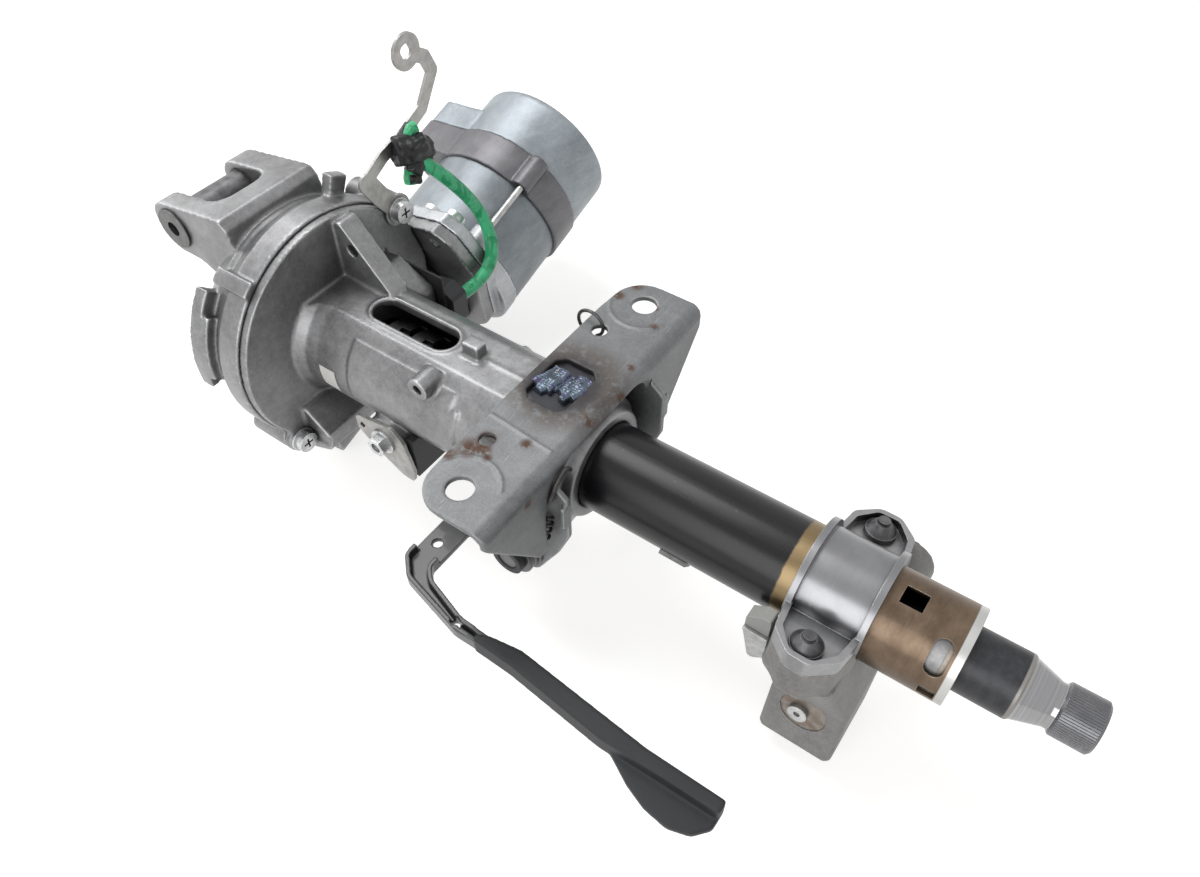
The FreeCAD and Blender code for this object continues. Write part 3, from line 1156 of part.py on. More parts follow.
def lever_arm():
    """Pressed steel arm of the tilt lever, from the bolt round to the handle."""
    face = LEVER_FACE
    half = LEVER_WIDTH / 2
    start = face - LEVER_THICK
    low = LEVER_WRIST_Z - LEVER_THICK
    eye = along_y(start, face, 12.0, TILT_X, TILT_Z)
    cheek = slab([(TILT_X, TILT_Z + 9), (TILT_X, TILT_Z - 9), (LEVER_BACK - half, low),
                  (LEVER_BACK - half, LEVER_WRIST_Z + 4)], [0, 0, 2, 2], on_xz(start),
                 Vector(0, LEVER_THICK, 0))
    strip = lever_wrist(low, LEVER_WRIST_Z)
    rim = lever_wrist(LEVER_WRIST_Z, LEVER_WRIST_Z + 4.5)
    pocket = lever_wrist(LEVER_WRIST_Z, LEVER_WRIST_Z + 6, 2.4)
    bare = block((LEVER_BACK - 20, LEVER_BACK + 20), (-72.0, face + 1), (LEVER_WRIST_Z, 0))
    body = join([eye, cheek, strip, cut(rim, [pocket, bare])])
    bore = along_y(-80, 0, TILT_BOLT_R + RUN, TILT_X, TILT_Z)
    hole = along_z(-60, 0, 2.6, LEVER_BACK - 1, -63.0)
    second = along_z(-60, 0, 2.2, HANDLE_START - 14, -93.5)
    return cut(body, [bore, hole, second])


def lever_hub():
    """Black retainer on the bolt's end beside the lever."""
    face = LEVER_FACE - LEVER_THICK
    cap = along_y(face - HUB_CAP_LENGTH, face, HUB_CAP_R, TILT_X, TILT_Z)
    hole = along_y(face - HUB_CAP_LENGTH - 1, face - 3.2, 5.7, TILT_X, TILT_Z)
    return cut(cap, [hole, along_y(-80, 0, TILT_BOLT_R + RUN, TILT_X, TILT_Z)])


def lever_handle():
    """Moulded handle with a thumb paddle at its end."""
    low = HANDLE_TOP - HANDLE_DEEP
    grip = slab([(HANDLE_START, -98.0), (HANDLE_START + 1, -94.5), (HANDLE_START + 7, -92.0),
                 (HANDLE_START + 23, -89.5), (HANDLE_END - 75, -92.5), (HANDLE_END - 39, -95.5),
                 (HANDLE_END, -95.5), (HANDLE_END, -102.0), (HANDLE_END - 27, -102.5),
                 (HANDLE_END - 58, -103.5), (HANDLE_END - 84, -101.0), (HANDLE_START + 23, -98.5)],
                [1.5, 2, 4, 12, 40, 20, 1.5, 1.5, 20, 20, 30, 30], on_xy(low),
                Vector(0, 0, HANDLE_DEEP))
    paddle = slab([(HANDLE_END - 70, -98.0), (HANDLE_END - 52, -103.5), (HANDLE_END - 39, -110.5),
                   (HANDLE_END - 28, -114.5), (HANDLE_END - 16, -116.0), (HANDLE_END - 6, -113.0),
                   (HANDLE_END, -106.0), (HANDLE_END, -98.0)],
                  [0, 20, 12, 8, 8, 6, 4, 0], on_xy(low), Vector(0, 0, 4.0))
    return join([grip, paddle]).cut(lever_arm())


def strip_run(points, width):
    """A flat strip along the points in the plane of the cover's face."""
    pieces = []
    half = width / 2
    for first, last in zip(points, points[1:]):
        run = Vector(last[0] - first[0], last[1] - first[1], 0).normalize()
        side = Vector(-run.y, run.x, 0) * half
        edge = [(first[0] + side.x, first[1] + side.y), (last[0] + side.x, last[1] + side.y),
                (last[0] - side.x, last[1] - side.y), (first[0] - side.x, first[1] - side.y)]
        pieces.append(slab(edge, 0, on_yz(COVER_FACE), Vector(STRIP_THICK, 0, 0)))
        pieces.append(along_x(COVER_FACE, COVER_FACE + STRIP_THICK, half, last[0], last[1]))
    return pieces


def harness_bracket():
    """Sheet strip under a cover screw that doubles back past the clip and ends in a slotted eye."""
    y, z = polar(SCREW_ANGLES[0], SCREW_REACH[0])
    foot = strip_run([(y, z), (42.0, 60.0), (35.0, 72.0)], 11.0)
    arm = strip_run([(35.0, 73.0), (49.0, 80.5), (65.0, 85.0), (81.0, 92.5), (92.0, 109.0),
                     (88.0, 118.0), (78.0, 124.0)], STRIP_WIDTH)
    washer = along_x(COVER_FACE, COVER_FACE + STRIP_THICK, 9.0, y, z)
    eye = along_x(COVER_FACE, COVER_FACE + STRIP_THICK, 9.5, 76.0, 125.5)
    hole = along_x(COVER_FACE - 1, COVER_FACE + 3, SCREW_R, y, z)
    oval = slab([(71.0, 128.0), (74.0, 121.0), (80.0, 123.5), (77.0, 130.5)], 2.6,
                on_yz(COVER_FACE - 1), Vector(5, 0, 0))
    return cut(join(foot + arm + [washer, eye]), [hole, oval])


def harness_clip():
    """Black clip on the strip that holds the lead."""
    body = block((COVER_FACE + STRIP_THICK, COVER_FACE + STRIP_THICK + 13), (57.0, 72.0), (68.0, 86.0))
    way = cable_path_solid(CABLE_R)
    return cut(body, [way])


def cable_points():
    """Corner points of the lead from the clip down to its plug."""
    return [(88.0, 60.0, 80.0), (97.0, 71.0, 67.0), (110.0, 88.0, 37.0), (120.0, 85.0, 13.0),
            (126.0, 62.0, 7.0), (120.0, 43.0, 5.5)]


def cable_path_solid(radius):
    """Straight runs joined by tangent arcs, swept with a round section."""
    points = [Vector(*p) for p in cable_points()]
    edges = []
    last = points[0]
    for index in range(1, len(points) - 1):
        corner = points[index]
        before = (points[index - 1] - corner).normalize()
        after = (points[index + 1] - corner).normalize()
        half = before.getAngle(after) / 2
        reach = 0.42 * min((points[index - 1] - corner).Length, (points[index + 1] - corner).Length)
        bend = reach * math.tan(half)
        middle = (before + after).normalize() * (bend / math.sin(half) - bend)
        start = corner + before * reach
        edges.append(Part.LineSegment(last, start).toShape())
        edges.append(Part.Arc(start, corner + middle, corner + after * reach).toShape())
        last = corner + after * reach
    edges.append(Part.LineSegment(last, points[-1]).toShape())
    path = Part.Wire(edges)
    run = (points[1] - points[0]).normalize()
    section = Part.Wire(Part.makeCircle(radius, points[0], run))
    return path.makePipeShell([section], True, False)


def sensor_cable():
    """Green sleeved lead from the clip to the torque sensor's plug."""
    return cable_path_solid(CABLE_R - 0.05)


def sensor_connector():
    """Black plug and seal plate of the torque sensor beside the cast tube."""
    body = slab([(108.0, 14.0), (119.0, 16.0), (127.0, 12.0), (127.0, -7.0), (108.0, -7.0)],
                [2, 3, 3, 2, 2], on_xz(CAST_R + 6.0), Vector(0, 11.0, 0))
    seal = block((92.0, 122.0), (38.0, CAST_R + 6.0), (-14.0, 26.0))
    return join([body, seal]).cut(cable_path_solid(CABLE_R - 0.05))


def sensor_box():
    """Black module under the cast tube, held by the sheet bracket."""
    body = block((129.0, 158.0), (-34.0, -4.0), (-44.0, -17.0))
    dome = along_y(-37.0, -3.0, 13.0 + GAP, SENSOR_X, SENSOR_Z)
    return cut(body, [along_x(100, 200, CAST_R + GAP), dome])


def sensor_bracket():
    """Sheet bracket bolted to the boss, with a slotted tab and a wrapped-down side."""
    plate = slab([(122.0, -13.0), (129.0, -12.0), (136.0, -11.0), (148.0, -9.0), (155.0, -16.0),
                  (159.5, -36.0), (158.0, -44.5), (150.0, -44.0), (134.0, -34.0), (122.0, -23.0)],
                 [4, 4, 4, 5, 6, 4, 2, 8, 8, 4], on_xz(-38.0), Vector(0, 2.0, 0))
    hole = along_y(-50, -20, SCREW_R, SENSOR_X, SENSOR_Z)
    slot = slab([(124.0, -20.0), (126.5, -21.5), (128.5, -18.0), (126.0, -16.5)], 0,
                on_xz(-40.0), Vector(0, 5, 0))
    return cut(plate, [hole, slot])


def sensor_bolt():
    """Hexagon flange bolt of the sheet bracket."""
    shank = along_y(-38.0, -25.0, SCREW_R, SENSOR_X, SENSOR_Z)
    flange = along_y(-39.6, -38.0, 7.4, SENSOR_X, SENSOR_Z)
    head = hex_bar(on_xz(-44.6), (SENSOR_X, SENSOR_Z), 10.0, Vector(0, 5.0, 0))
    return join([shank, flange, head]).cut(along_y(-45, -43.4, 3.0, SENSOR_X, SENSOR_Z))


PARTS = [
    gear_housing, column_housing, housing_screws, pivot_collar, pivot_bushes, output_bearing,
    cover_bearing, output_shaft, worm_wheel_hub, worm_wheel_rim, torsion_bar, input_shaft,
    sensor_rings, sensor_coil, worm_bearings, worm_end_plug, worm_shaft, worm_coupling,
    motor_rotor, motor_stator, motor_flange, motor_body, motor_mid_frame, motor_end_cap,
    motor_rear_bearing, motor_through_bolts, motor_screws, jacket_tube, jacket_stop,
    upper_bearing, bearing_retainer, upper_shaft, lock_collar, lock_clamp_cap, shear_bolts,
    lock_housing, lock_cover, lock_screw, lock_bolt, lock_solenoid, lock_plug, lock_plug_clip,
    mounting_bracket, tilt_bracket, weld_beads, wire_ring, tilt_bolt, tilt_nut, fixed_cam,
    moving_cam, lever_arm, lever_hub, lever_handle, harness_bracket, harness_clip, sensor_cable,
    sensor_connector, sensor_box, sensor_bracket, sensor_bolt]


os.makedirs("parts", exist_ok=True)
for make in PARTS:
    shape = make()
    shape.exportStep("parts/" + make.__name__ + ".step")
    print(make.__name__, len(shape.Solids), round(shape.Volume / 1000, 2), shape.isValid())
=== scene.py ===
"""Dresses a power-assisted steering column for a picture: finishes, small forms, stage and camera.

Frame in metres: +X along the steering axis towards the wheel, +Z along the mounting plate's normal,
+Y towards the motor.  Places and sizes are written in millimetres of the same frame, and MM turns them
into metres; only the lamps and the floor are written in metres.
"""

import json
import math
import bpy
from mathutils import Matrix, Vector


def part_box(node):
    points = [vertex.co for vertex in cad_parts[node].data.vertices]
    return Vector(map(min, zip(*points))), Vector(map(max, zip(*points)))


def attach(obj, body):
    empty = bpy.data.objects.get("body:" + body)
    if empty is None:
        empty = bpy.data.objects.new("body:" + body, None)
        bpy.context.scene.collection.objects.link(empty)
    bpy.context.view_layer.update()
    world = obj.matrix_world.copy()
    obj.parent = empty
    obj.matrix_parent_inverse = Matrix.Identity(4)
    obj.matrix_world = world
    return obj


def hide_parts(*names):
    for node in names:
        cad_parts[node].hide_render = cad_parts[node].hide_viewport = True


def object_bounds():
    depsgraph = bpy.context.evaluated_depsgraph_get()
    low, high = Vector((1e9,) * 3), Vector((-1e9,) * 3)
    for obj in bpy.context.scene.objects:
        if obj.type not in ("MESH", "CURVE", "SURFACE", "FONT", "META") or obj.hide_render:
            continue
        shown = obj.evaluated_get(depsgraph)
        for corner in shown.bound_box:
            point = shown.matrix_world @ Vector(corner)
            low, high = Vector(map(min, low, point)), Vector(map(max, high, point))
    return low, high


bl_info = {
    "name": "Steering Column Dresser",
    "version": (1, 0, 0),
    "blender": (4, 5, 0),
    "location": "View3D > Sidebar > Column",
    "description": "Gives a steering column its finishes, small forms, stage and camera",
    "category": "Object",
}

import bmesh
import bpy
from mathutils import Matrix, Vector, noise

MM = 0.001

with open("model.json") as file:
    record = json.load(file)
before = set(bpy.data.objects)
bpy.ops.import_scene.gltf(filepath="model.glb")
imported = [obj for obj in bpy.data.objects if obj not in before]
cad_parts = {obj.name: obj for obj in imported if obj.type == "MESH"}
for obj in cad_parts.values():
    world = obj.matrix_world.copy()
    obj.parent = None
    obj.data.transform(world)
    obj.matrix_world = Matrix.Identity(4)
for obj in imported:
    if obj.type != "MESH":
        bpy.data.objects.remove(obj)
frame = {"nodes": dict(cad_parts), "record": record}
NODES = frame["nodes"]
CAD_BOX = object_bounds()
SLOT = {row["node"]: row["material_slot"] for row in frame["record"]["subparts"]}

# Degrees between two faces above which their edge stays sharp.
SHARP_ANGLE = 35.0
# Where a Mix node keeps its factor, its two colours and its colour result.
MIX_FACTOR, MIX_FIRST, MIX_SECOND, MIX_RESULT = 0, 6, 7, 2

# Stage: camera in millimetres; lamps in metres with spot, target, size and share of the key light.
CAMERA_SPOT = (421.2, -241.9, 354.7)
LAMPS = (("key_lamp", (-0.5, 0.2, 1.5), (0.15, 0.05, 0.0), 0.9, 1.0),
         ("side_lamp", (0.35, -1.5, 0.75), (0.2, 0.0, 0.0), 1.2, 0.85),
         ("rear_lamp", (-1.4, 0.1, 0.7), (0.1, 0.0, 0.0), 0.9, 0.5))
FLOOR_HALF = 9.0
FLOOR_GAP = 0.0005

# Places along the steering axis where a finish changes, each from and to.
PAINT_END = (357.6, 358.8)
GOLD_RING = (357.0, 363.5)
BARE_EDGE = (432.2, 432.7)
BORE_EDGE = (21.6, 20.9)
NECK_RING = (457.8, 460.3)
NECK_END = (459.6, 460.2)
TIP_START = (473.8, 474.2)

# Mounting bracket: middle of the weld, its burnt ring, and each rust spot with its reach.
WELD_MIDDLE = (229, 3, 37)
BURN_MIDDLE = (231, 4, 36)
RUST_SPOTS = (((219, -52, 37), 5.0), ((214, -60, 37), 3.0), ((215, 70, 37), 3.4), ((219, 82, 37), 3.4),
              ((225, -49, 37), 3.0), ((238, -36, 37), 2.6), ((243, 60, 37), 2.4), ((249, 30, 37), 2.0),
              ((252, -8, 36), 3.0), ((222, -43, 37), 4.0), ((236, 72, 37), 2.0), ((255, -58, 30), 2.2),
              ((255, 14, 34), 2.6), ((229, -52, 37), 2.0))
PLATE_CREASE = ((214, -30.8, 37.1), (250, -33.4, 37.1))
WELD_RUNS = ((222.5, -6.5, 11.5), (235.5, -5.0, 12.5))
HOOK_RUN = ((253, -44, 12), (256.5, -44, 20), (257.5, -40, 28), (257.5, -34, 31), (257, -30, 27))
COIL_START = (252.5, -46, -10)
COIL_RADIUS = 2.6
COIL_STEP = 0.7
COIL_DRIFT = (0.16, 0.42)
COIL_POINTS = 36

# Cast tube: raised field (x, radius and angle, each from and to), slot lip, parting lines and label.
RAISED_FIELD = (117.0, 184.0, 31.0, 33.9, 131.0, 195.0)
LIP_ENDS = (120, 157)
LIP_RADIUS = 9.4
CREST_HEIGHT = 30.0
PARTING_LINES = (((176, 0.7, CREST_HEIGHT), (212, 0.7, CREST_HEIGHT)), ((84, 20, 26), (110, 20, 26)))
LABEL_START = (96.2, 172.0)
LABEL_SPAN = (11.0, 25.0)
LABEL_RADIUS = 33.35

# Wrapped clip: runs of tape with their radii, and the loose ends of the sleeve.
TAPE_WRAPS = ((((86, 54, 82), (89, 63, 80), (88, 72, 75)), 8.0),
              (((91, 59, 69), (91, 66, 76), (86, 68, 85)), 5.2),
              (((84, 62, 85), (84, 69, 89)), 3.6), (((93, 58, 85), (94, 67, 86)), 2.4),
              (((90, 56, 66), (92, 63, 64)), 3.2), (((88, 72, 80), (90, 76, 74)), 2.6))
SLEEVE_TAILS = (((86, 62, 84), (86, 66, 88), (87, 70, 89)), ((88, 61, 72), (89, 58, 67), (90, 57, 63)))


# ---------------------------------------------------------------- shader expressions


class Value:
    """One output of a material's nodes, which takes part in sums written in Python."""

    def __init__(self, tree, socket):
        self.tree = tree
        self.socket = socket

    def join(self, operation, *parts):
        """A Math node of the operation over values and numbers."""
        node = self.tree.nodes.new("ShaderNodeMath")
        node.operation = operation
        for slot, part in zip(node.inputs, parts):
            if isinstance(part, Value):
                self.tree.links.new(part.socket, slot)
            else:
                slot.default_value = part
        return Value(self.tree, node.outputs[0])

    def __add__(self, other):
        return self.join("ADD", self, other)

    def __radd__(self, other):
        return self.join("ADD", other, self)

    def __sub__(self, other):
        return self.join("SUBTRACT", self, other)

    def __rsub__(self, other):
        return self.join("SUBTRACT", other, self)

    def __mul__(self, other):
        return self.join("MULTIPLY", self, other)

    def __rmul__(self, other):
        return self.join("MULTIPLY", other, self)

    def __abs__(self):
        return self.join("ABSOLUTE", self)

    def larger(self, other):
        """The larger of the two values."""
        return self.join("MAXIMUM", self, other)

    def smaller(self, other):
        """The smaller of the two values."""
        return self.join("MINIMUM", self, other)

    def sine(self):
        """The sine of the value."""
        return self.join("SINE", self)

    def step(self, low, high):
        """A smooth rise from 0 at low to 1 at high, or a fall where low is the larger."""
        node = self.tree.nodes.new("ShaderNodeMapRange")
        node.interpolation_type = "SMOOTHSTEP"
        self.tree.links.new(self.socket, node.inputs["Value"])
        ends = (low, high, 0.0, 1.0) if low < high else (high, low, 1.0, 0.0)
        for name, number in zip(("From Min", "From Max", "To Min", "To Max"), ends):
            node.inputs[name].default_value = number
        return Value(self.tree, node.outputs["Result"])

    def within(self, low, high, soft):
        """1 between low and high, with soft edges."""
        return self.step(low - soft, low + soft) * self.step(high + soft, high - soft)


class Finish:
    """A material built from expressions, in the object's own millimetres."""

    def __init__(self, name):
        self.material = bpy.data.materials.new(name)
        self.material.use_nodes = True
        self.tree = self.material.node_tree
        self.shader = self.tree.nodes["Principled BSDF"]
        self.base_place = None
        self.base_round = None

    def node(self, kind, settings=None, sockets=None, output=0):
        """One output of a new node, after its settings and then its sockets are set."""
        made = self.tree.nodes.new(kind)
        for name, value in (settings or {}).items():
            setattr(made, name, value)
        for name, value in (sockets or {}).items():
            self.feed(made.inputs[name], value)
        return Value(self.tree, made.outputs[output])

    def feed(self, slot, value):
        """Links a value to a socket or writes a number or colour there."""
        if isinstance(value, Value):
            self.tree.links.new(value.socket, slot)
        elif hasattr(slot.default_value, "__len__") and not hasattr(value, "__len__"):
            slot.default_value = [value] * len(slot.default_value)
        elif hasattr(value, "__len__") and len(value) == 3 and len(slot.default_value) == 4:
            slot.default_value = (*value, 1.0)
        else:
            slot.default_value = value

    def place(self):
        """The point's position in millimetres."""
        if self.base_place is None:
            spot = self.node("ShaderNodeTexCoord", output="Object")
            self.base_place = self.node("ShaderNodeVectorMath", {"operation": "SCALE"},
                                        {"Vector": spot, "Scale": 1.0 / MM})
        return self.base_place

    def axes(self):
        """The x, y and z of the position in millimetres."""
        made = self.tree.nodes.new("ShaderNodeSeparateXYZ")
        self.feed(made.inputs[0], self.place())
        return [Value(self.tree, out) for out in made.outputs]

    def moved(self, scale=(1, 1, 1), shift=(0, 0, 0)):
        """The position scaled along each axis and shifted."""
        scaled = self.node("ShaderNodeVectorMath", {"operation": "MULTIPLY"},
                           {0: self.place(), 1: scale})
        return self.node("ShaderNodeVectorMath", {"operation": "ADD"}, {0: scaled, 1: shift})

    def grain(self, size, detail=3.0, rough=0.55, stretch=(1, 1, 1), shift=(0, 0, 0), warp=0.0):
        """Noise from 0 to 1 whose features are about the size in millimetres."""
        return self.node("ShaderNodeTexNoise", None,
                         {"Vector": self.moved(stretch, shift), "Scale": 1.0 / size,
                          "Detail": detail, "Roughness": rough, "Distortion": warp})

    def cells(self, size, stretch=(1, 1, 1), shift=(0, 0, 0)):
        """Distance to the nearest of scattered points, about the size apart."""
        return self.node("ShaderNodeTexVoronoi", None,
                         {"Vector": self.moved(stretch, shift), "Scale": 1.0 / size})

    def ball(self, centre, radius, soft):
        """1 inside a ball round the centre, falling to 0 over the soft width."""
        gap = self.node("ShaderNodeVectorMath", {"operation": "DISTANCE"},
                        {0: self.place(), 1: centre}, output="Value")
        return gap.step(radius + soft, radius)

    def blend(self, factor, first, second):
        """The first colour at factor 0 and the second at 1."""
        made = self.tree.nodes.new("ShaderNodeMix")
        made.data_type = "RGBA"
        self.feed(made.inputs[MIX_FACTOR], factor)
        self.feed(made.inputs[MIX_FIRST], first)
        self.feed(made.inputs[MIX_SECOND], second)
        return Value(self.tree, made.outputs[MIX_RESULT])

    def rounded(self, radius):
        """The surface normal with its edges rounded; the first radius asked for holds for the material."""
        if self.base_round is None:
            self.base_round = self.node("ShaderNodeBevel", {"samples": 4},
                                        {"Radius": radius * MM})
        return self.base_round

    def edges(self, radius=0.8):
        """1 on sharp edges, 0 on flat ground."""
        normal = self.node("ShaderNodeNewGeometry", output="Normal")
        same = self.node("ShaderNodeVectorMath", {"operation": "DOT_PRODUCT"},
                         {0: self.rounded(radius), 1: normal}, output="Value")
        return (1.0 - same).step(0.01, 0.16)

    def ridges(self, low=0.515, high=0.57):
        """1 on the crests of a finely meshed form, 0 on flat ground."""
        return self.node("ShaderNodeNewGeometry", output="Pointiness").step(low, high)

    def hollows(self, reach=6.0):
        """1 in the open, towards 0 in corners and gaps."""
        return self.node("ShaderNodeAmbientOcclusion", {"samples": 4},
                         {"Distance": reach * MM}, output="AO")

    def painted_shade(self, colour, reach, low, high, share, shadow_colour):
        """The colour darkened by painted shade in its corners and gaps, from an occlusion mask."""
        return self.blend((1.0 - self.hollows(reach)).step(low, high) * share, colour, shadow_colour)

    def raise_by(self, height, depth, radius=None):
        """Feeds a height to the surface normal; a height of 1 stands the depth in millimetres proud."""
        sockets = {"Height": height, "Distance": depth * MM, "Strength": 1.0}
        if radius:
            sockets["Normal"] = self.rounded(radius)
        self.feed(self.shader.inputs["Normal"], self.node("ShaderNodeBump", None, sockets))

    def surface(self, **sockets):
        """Sets the shader's sockets by name, with underscores for spaces."""
        for name, value in sockets.items():
            self.feed(self.shader.inputs[name.replace("_", " ")], value)
        return self.material


# ---------------------------------------------------------------- finishes


def lifted(colour, times):
    """A colour made lighter, up to white."""
    return [min(1.0, part * times) for part in colour]


def mottled(*layers):
    """A tone from grains and their shares, each steepened alike."""
    tones = [grain.step(0.3, 0.7) * share for grain, share in layers]
    return sum(tones[1:], tones[0])


def cast_alloy(name, dark, light):
    """Cast aluminium: satin, finely mottled and bright on its crests, with painted shade darkening its
    corners and gaps.
    """
    f = Finish(name)
    cloud = f.grain(28.0, 3.0, 0.55)
    patch = f.grain(4.5, 4.0, 0.66, shift=(40, 10, 7))
    sand = f.grain(1.5, 3.0, 0.7)
    tone = mottled((cloud, 0.45), (patch, 0.3), (sand, 0.25))
    colour = f.blend(tone, dark, light)
    crest = f.ridges()
    colour = f.blend(crest * 0.6, colour, lifted(light, 1.75))
    near = f.hollows(5.0)
    # Painted shade: the two blends below darken the colour in corners and gaps, over a wide reach and then
    # close in.
    colour = f.painted_shade(colour, 26.0, 0.1, 0.85, 0.7, (0.03, 0.03, 0.03))
    colour = f.blend((1.0 - near).step(0.2, 0.9) * 0.5, colour, (0.02, 0.019, 0.017))
    specks = f.cells(5.5, shift=(3, 9, 1)).step(0.085, 0.03)
    colour = f.blend(specks * 0.45, colour, (0.05, 0.048, 0.045))
    nicks = f.cells(12.0, stretch=(1.0, 0.15, 0.6)).step(0.03, 0.012)
    colour = f.blend(nicks * 0.6, colour, (0.7, 0.7, 0.7))
    f.raise_by(sand * 0.45 + patch * 0.55 + cloud * 1.5 - specks * 0.6, 0.16)
    rough = 0.27 + patch * 0.16 + sand * 0.08 + (1.0 - near) * 0.2 - crest * 0.08
    return f.surface(Base_Color=colour, Roughness=rough, Metallic=0.72)


def sprayed_alloy(name, dark, light):
    """Blue-grey sprayed metal of the motor, with wiped patches and rubs."""
    f = Finish(name)
    cloud = f.grain(30.0, 3.0, 0.6, shift=(5, 3, 8))
    wipe = f.grain(7.0, 5.0, 0.68, stretch=(1, 0.4, 1), warp=0.5)
    fine = f.grain(1.2, 3.0, 0.65)
    tone = cloud.step(0.32, 0.68) * 0.45 + wipe.step(0.35, 0.7) * 0.35 + fine.step(0.35, 0.65) * 0.2
    colour = f.blend(tone, dark, light)
    colour = f.blend(f.edges(0.7) * 0.45, colour, lifted(light, 1.7))
    # Painted shade: darkens the colour in corners and gaps.
    colour = f.painted_shade(colour, 16.0, 0.15, 0.9, 0.6, (0.02, 0.021, 0.023))
    scratch = f.cells(10.0, stretch=(1.0, 0.12, 0.7)).step(0.03, 0.012)
    colour = f.blend(scratch * 0.5, colour, (0.6, 0.62, 0.64))
    spots = f.cells(7.0, shift=(1, 5, 3)).step(0.06, 0.03)
    colour = f.blend(spots * 0.4, colour, (0.06, 0.062, 0.065))
    f.raise_by(fine * 0.5 + wipe * 0.5, 0.08, 0.7)
    return f.surface(Base_Color=colour, Roughness=0.32 + wipe * 0.2, Metallic=0.55)


def plated_steel(name, dark, light, rough=0.3, radius=0.35, stretch=(1, 1, 1)):
    """Plated steel of screws, plates and rings, with fine turning marks and small rubs."""
    f = Finish(name)
    cloud = f.grain(5.0, 4.0, 0.6)
    lines = f.grain(0.5, 2.0, 0.5, stretch=stretch)
    colour = f.blend(cloud.step(0.3, 0.7) * 0.7 + lines * 0.3, dark, light)
    colour = f.blend(f.edges(radius) * 0.6, colour, lifted(light, 1.6))
    # Painted shade: darkens the colour in corners and gaps.
    colour = f.painted_shade(colour, 6.0, 0.15, 0.85, 0.75, (0.02, 0.019, 0.018))
    f.raise_by(lines * 0.7 + cloud * 0.3, 0.05, radius)
    return f.surface(Base_Color=colour, Roughness=rough + cloud * 0.16, Metallic=0.8)


def dull_plastic(name, colour, sheen, rough=0.46, radius=0.7):
    """Moulded plastic or rubber with a fine grain and scuffed edges."""
    f = Finish(name)
    fine = f.grain(0.9, 3.0, 0.6)
    cloud = f.grain(12.0, 3.0, 0.6)
    shade = f.blend(cloud * 0.7 + fine * 0.3, colour, sheen)
    shade = f.blend(f.edges(radius) * 0.25, shade, lifted(sheen, 3.0))
    scuff = f.cells(14.0, stretch=(0.3, 1, 1), shift=(4, 1, 2)).step(0.035, 0.012)
    shade = f.blend(scuff * 0.4, shade, lifted(sheen, 7.0))
    f.raise_by(fine * 0.9 + cloud * 0.2, 0.06, radius)
    return f.surface(Base_Color=shade, Roughness=rough + cloud * 0.12, Metallic=0.0,
                     Specular_IOR_Level=0.35)


def jacket_paint():
    """Black paint on the jacket tube, bronze plating at the wheel end and a bare turned edge."""
    f = Finish("jacket_paint_and_bronze")
    x, y, z = f.axes()
    wander = f.grain(6.0, 4.0, 0.6) * 2.2
    bronze_part = (x + wander).step(*PAINT_END)
    bare = x.step(*BARE_EDGE)
    hoops = f.grain(1.2, 3.0, 0.6, stretch=(1, 0.05, 0.05))
    cloud = f.grain(9.0, 5.0, 0.68, stretch=(1, 0.6, 0.6))
    smear = f.grain(16.0, 4.0, 0.6, stretch=(0.3, 1, 1), shift=(9, 2, 4))
    black = f.blend(smear.step(0.4, 0.75), (0.004, 0.004, 0.005), (0.012, 0.012, 0.014))
    nicks = f.cells(9.0, stretch=(0.6, 1, 1)).step(0.05, 0.02)
    black = f.blend(nicks * 0.45, black, (0.16, 0.16, 0.165))
    bronze = f.blend(cloud.step(0.3, 0.7), (0.11, 0.078, 0.054), (0.17, 0.124, 0.088))
    bronze = f.blend(hoops.step(0.5, 0.75) * 0.25, bronze, (0.08, 0.058, 0.042))
    gold = x.within(*GOLD_RING, 0.8)
    bronze = f.blend(gold * 0.6, bronze, (0.27, 0.2, 0.1))
    colour = f.blend(bronze_part, black, bronze)
    colour = f.blend(bare, colour, (0.5, 0.5, 0.49))
    colour = f.blend(f.edges(0.4) * bronze_part * 0.7, colour, (0.5, 0.45, 0.38))
    inside = (y * y + z * z).step(*[radius ** 2 for radius in BORE_EDGE])
    colour = f.blend(inside * 0.85, colour, (0.05, 0.042, 0.035))
    f.raise_by(hoops * 0.12 + cloud * 0.12, 0.05, 0.4)
    rough = 0.22 + smear * 0.12 + bronze_part * cloud * 0.14
    return f.surface(Base_Color=colour, Roughness=rough, Metallic=bronze_part * 0.95,
                     Specular_IOR_Level=0.35)


def shaft_steel():
    """Oxide-black neck, bright turned cone and grooved tip of the steering shaft."""
    f = Finish("wheel_shaft_steel")
    x = f.axes()[0]
    cloud = f.grain(6.0, 4.0, 0.65)
    hoops = f.grain(0.9, 2.0, 0.5, stretch=(1, 0.0, 0.0))
    neck = f.blend(cloud.step(0.3, 0.75), (0.02, 0.02, 0.023), (0.042, 0.044, 0.05))
    chrome = f.blend(hoops.step(0.4, 0.65), (0.27, 0.27, 0.275), (0.36, 0.36, 0.37))
    tip = f.blend(cloud, (0.09, 0.092, 0.1), (0.2, 0.2, 0.21))
    cone_part = x.step(*NECK_END) * x.step(*reversed(TIP_START))
    tip_part = x.step(*TIP_START)
    colour = f.blend(cone_part, neck, chrome)
    colour = f.blend(tip_part, colour, tip)
    colour = f.blend(f.edges(0.2) * (cone_part + tip_part) * 0.5, colour, (0.55, 0.55, 0.56))
    colour = f.blend(x.within(*NECK_RING, 0.3) * 0.55, colour, (0.45, 0.43, 0.4))
    f.raise_by(hoops * 0.06 + cloud * 0.2 * (1.0 - cone_part), 0.04, 0.2)
    rough = 0.36 - cone_part * 0.26 - tip_part * 0.06 + cloud * 0.06
    return f.surface(Base_Color=colour, Roughness=rough, Metallic=0.4 + (cone_part + tip_part) * 0.5)


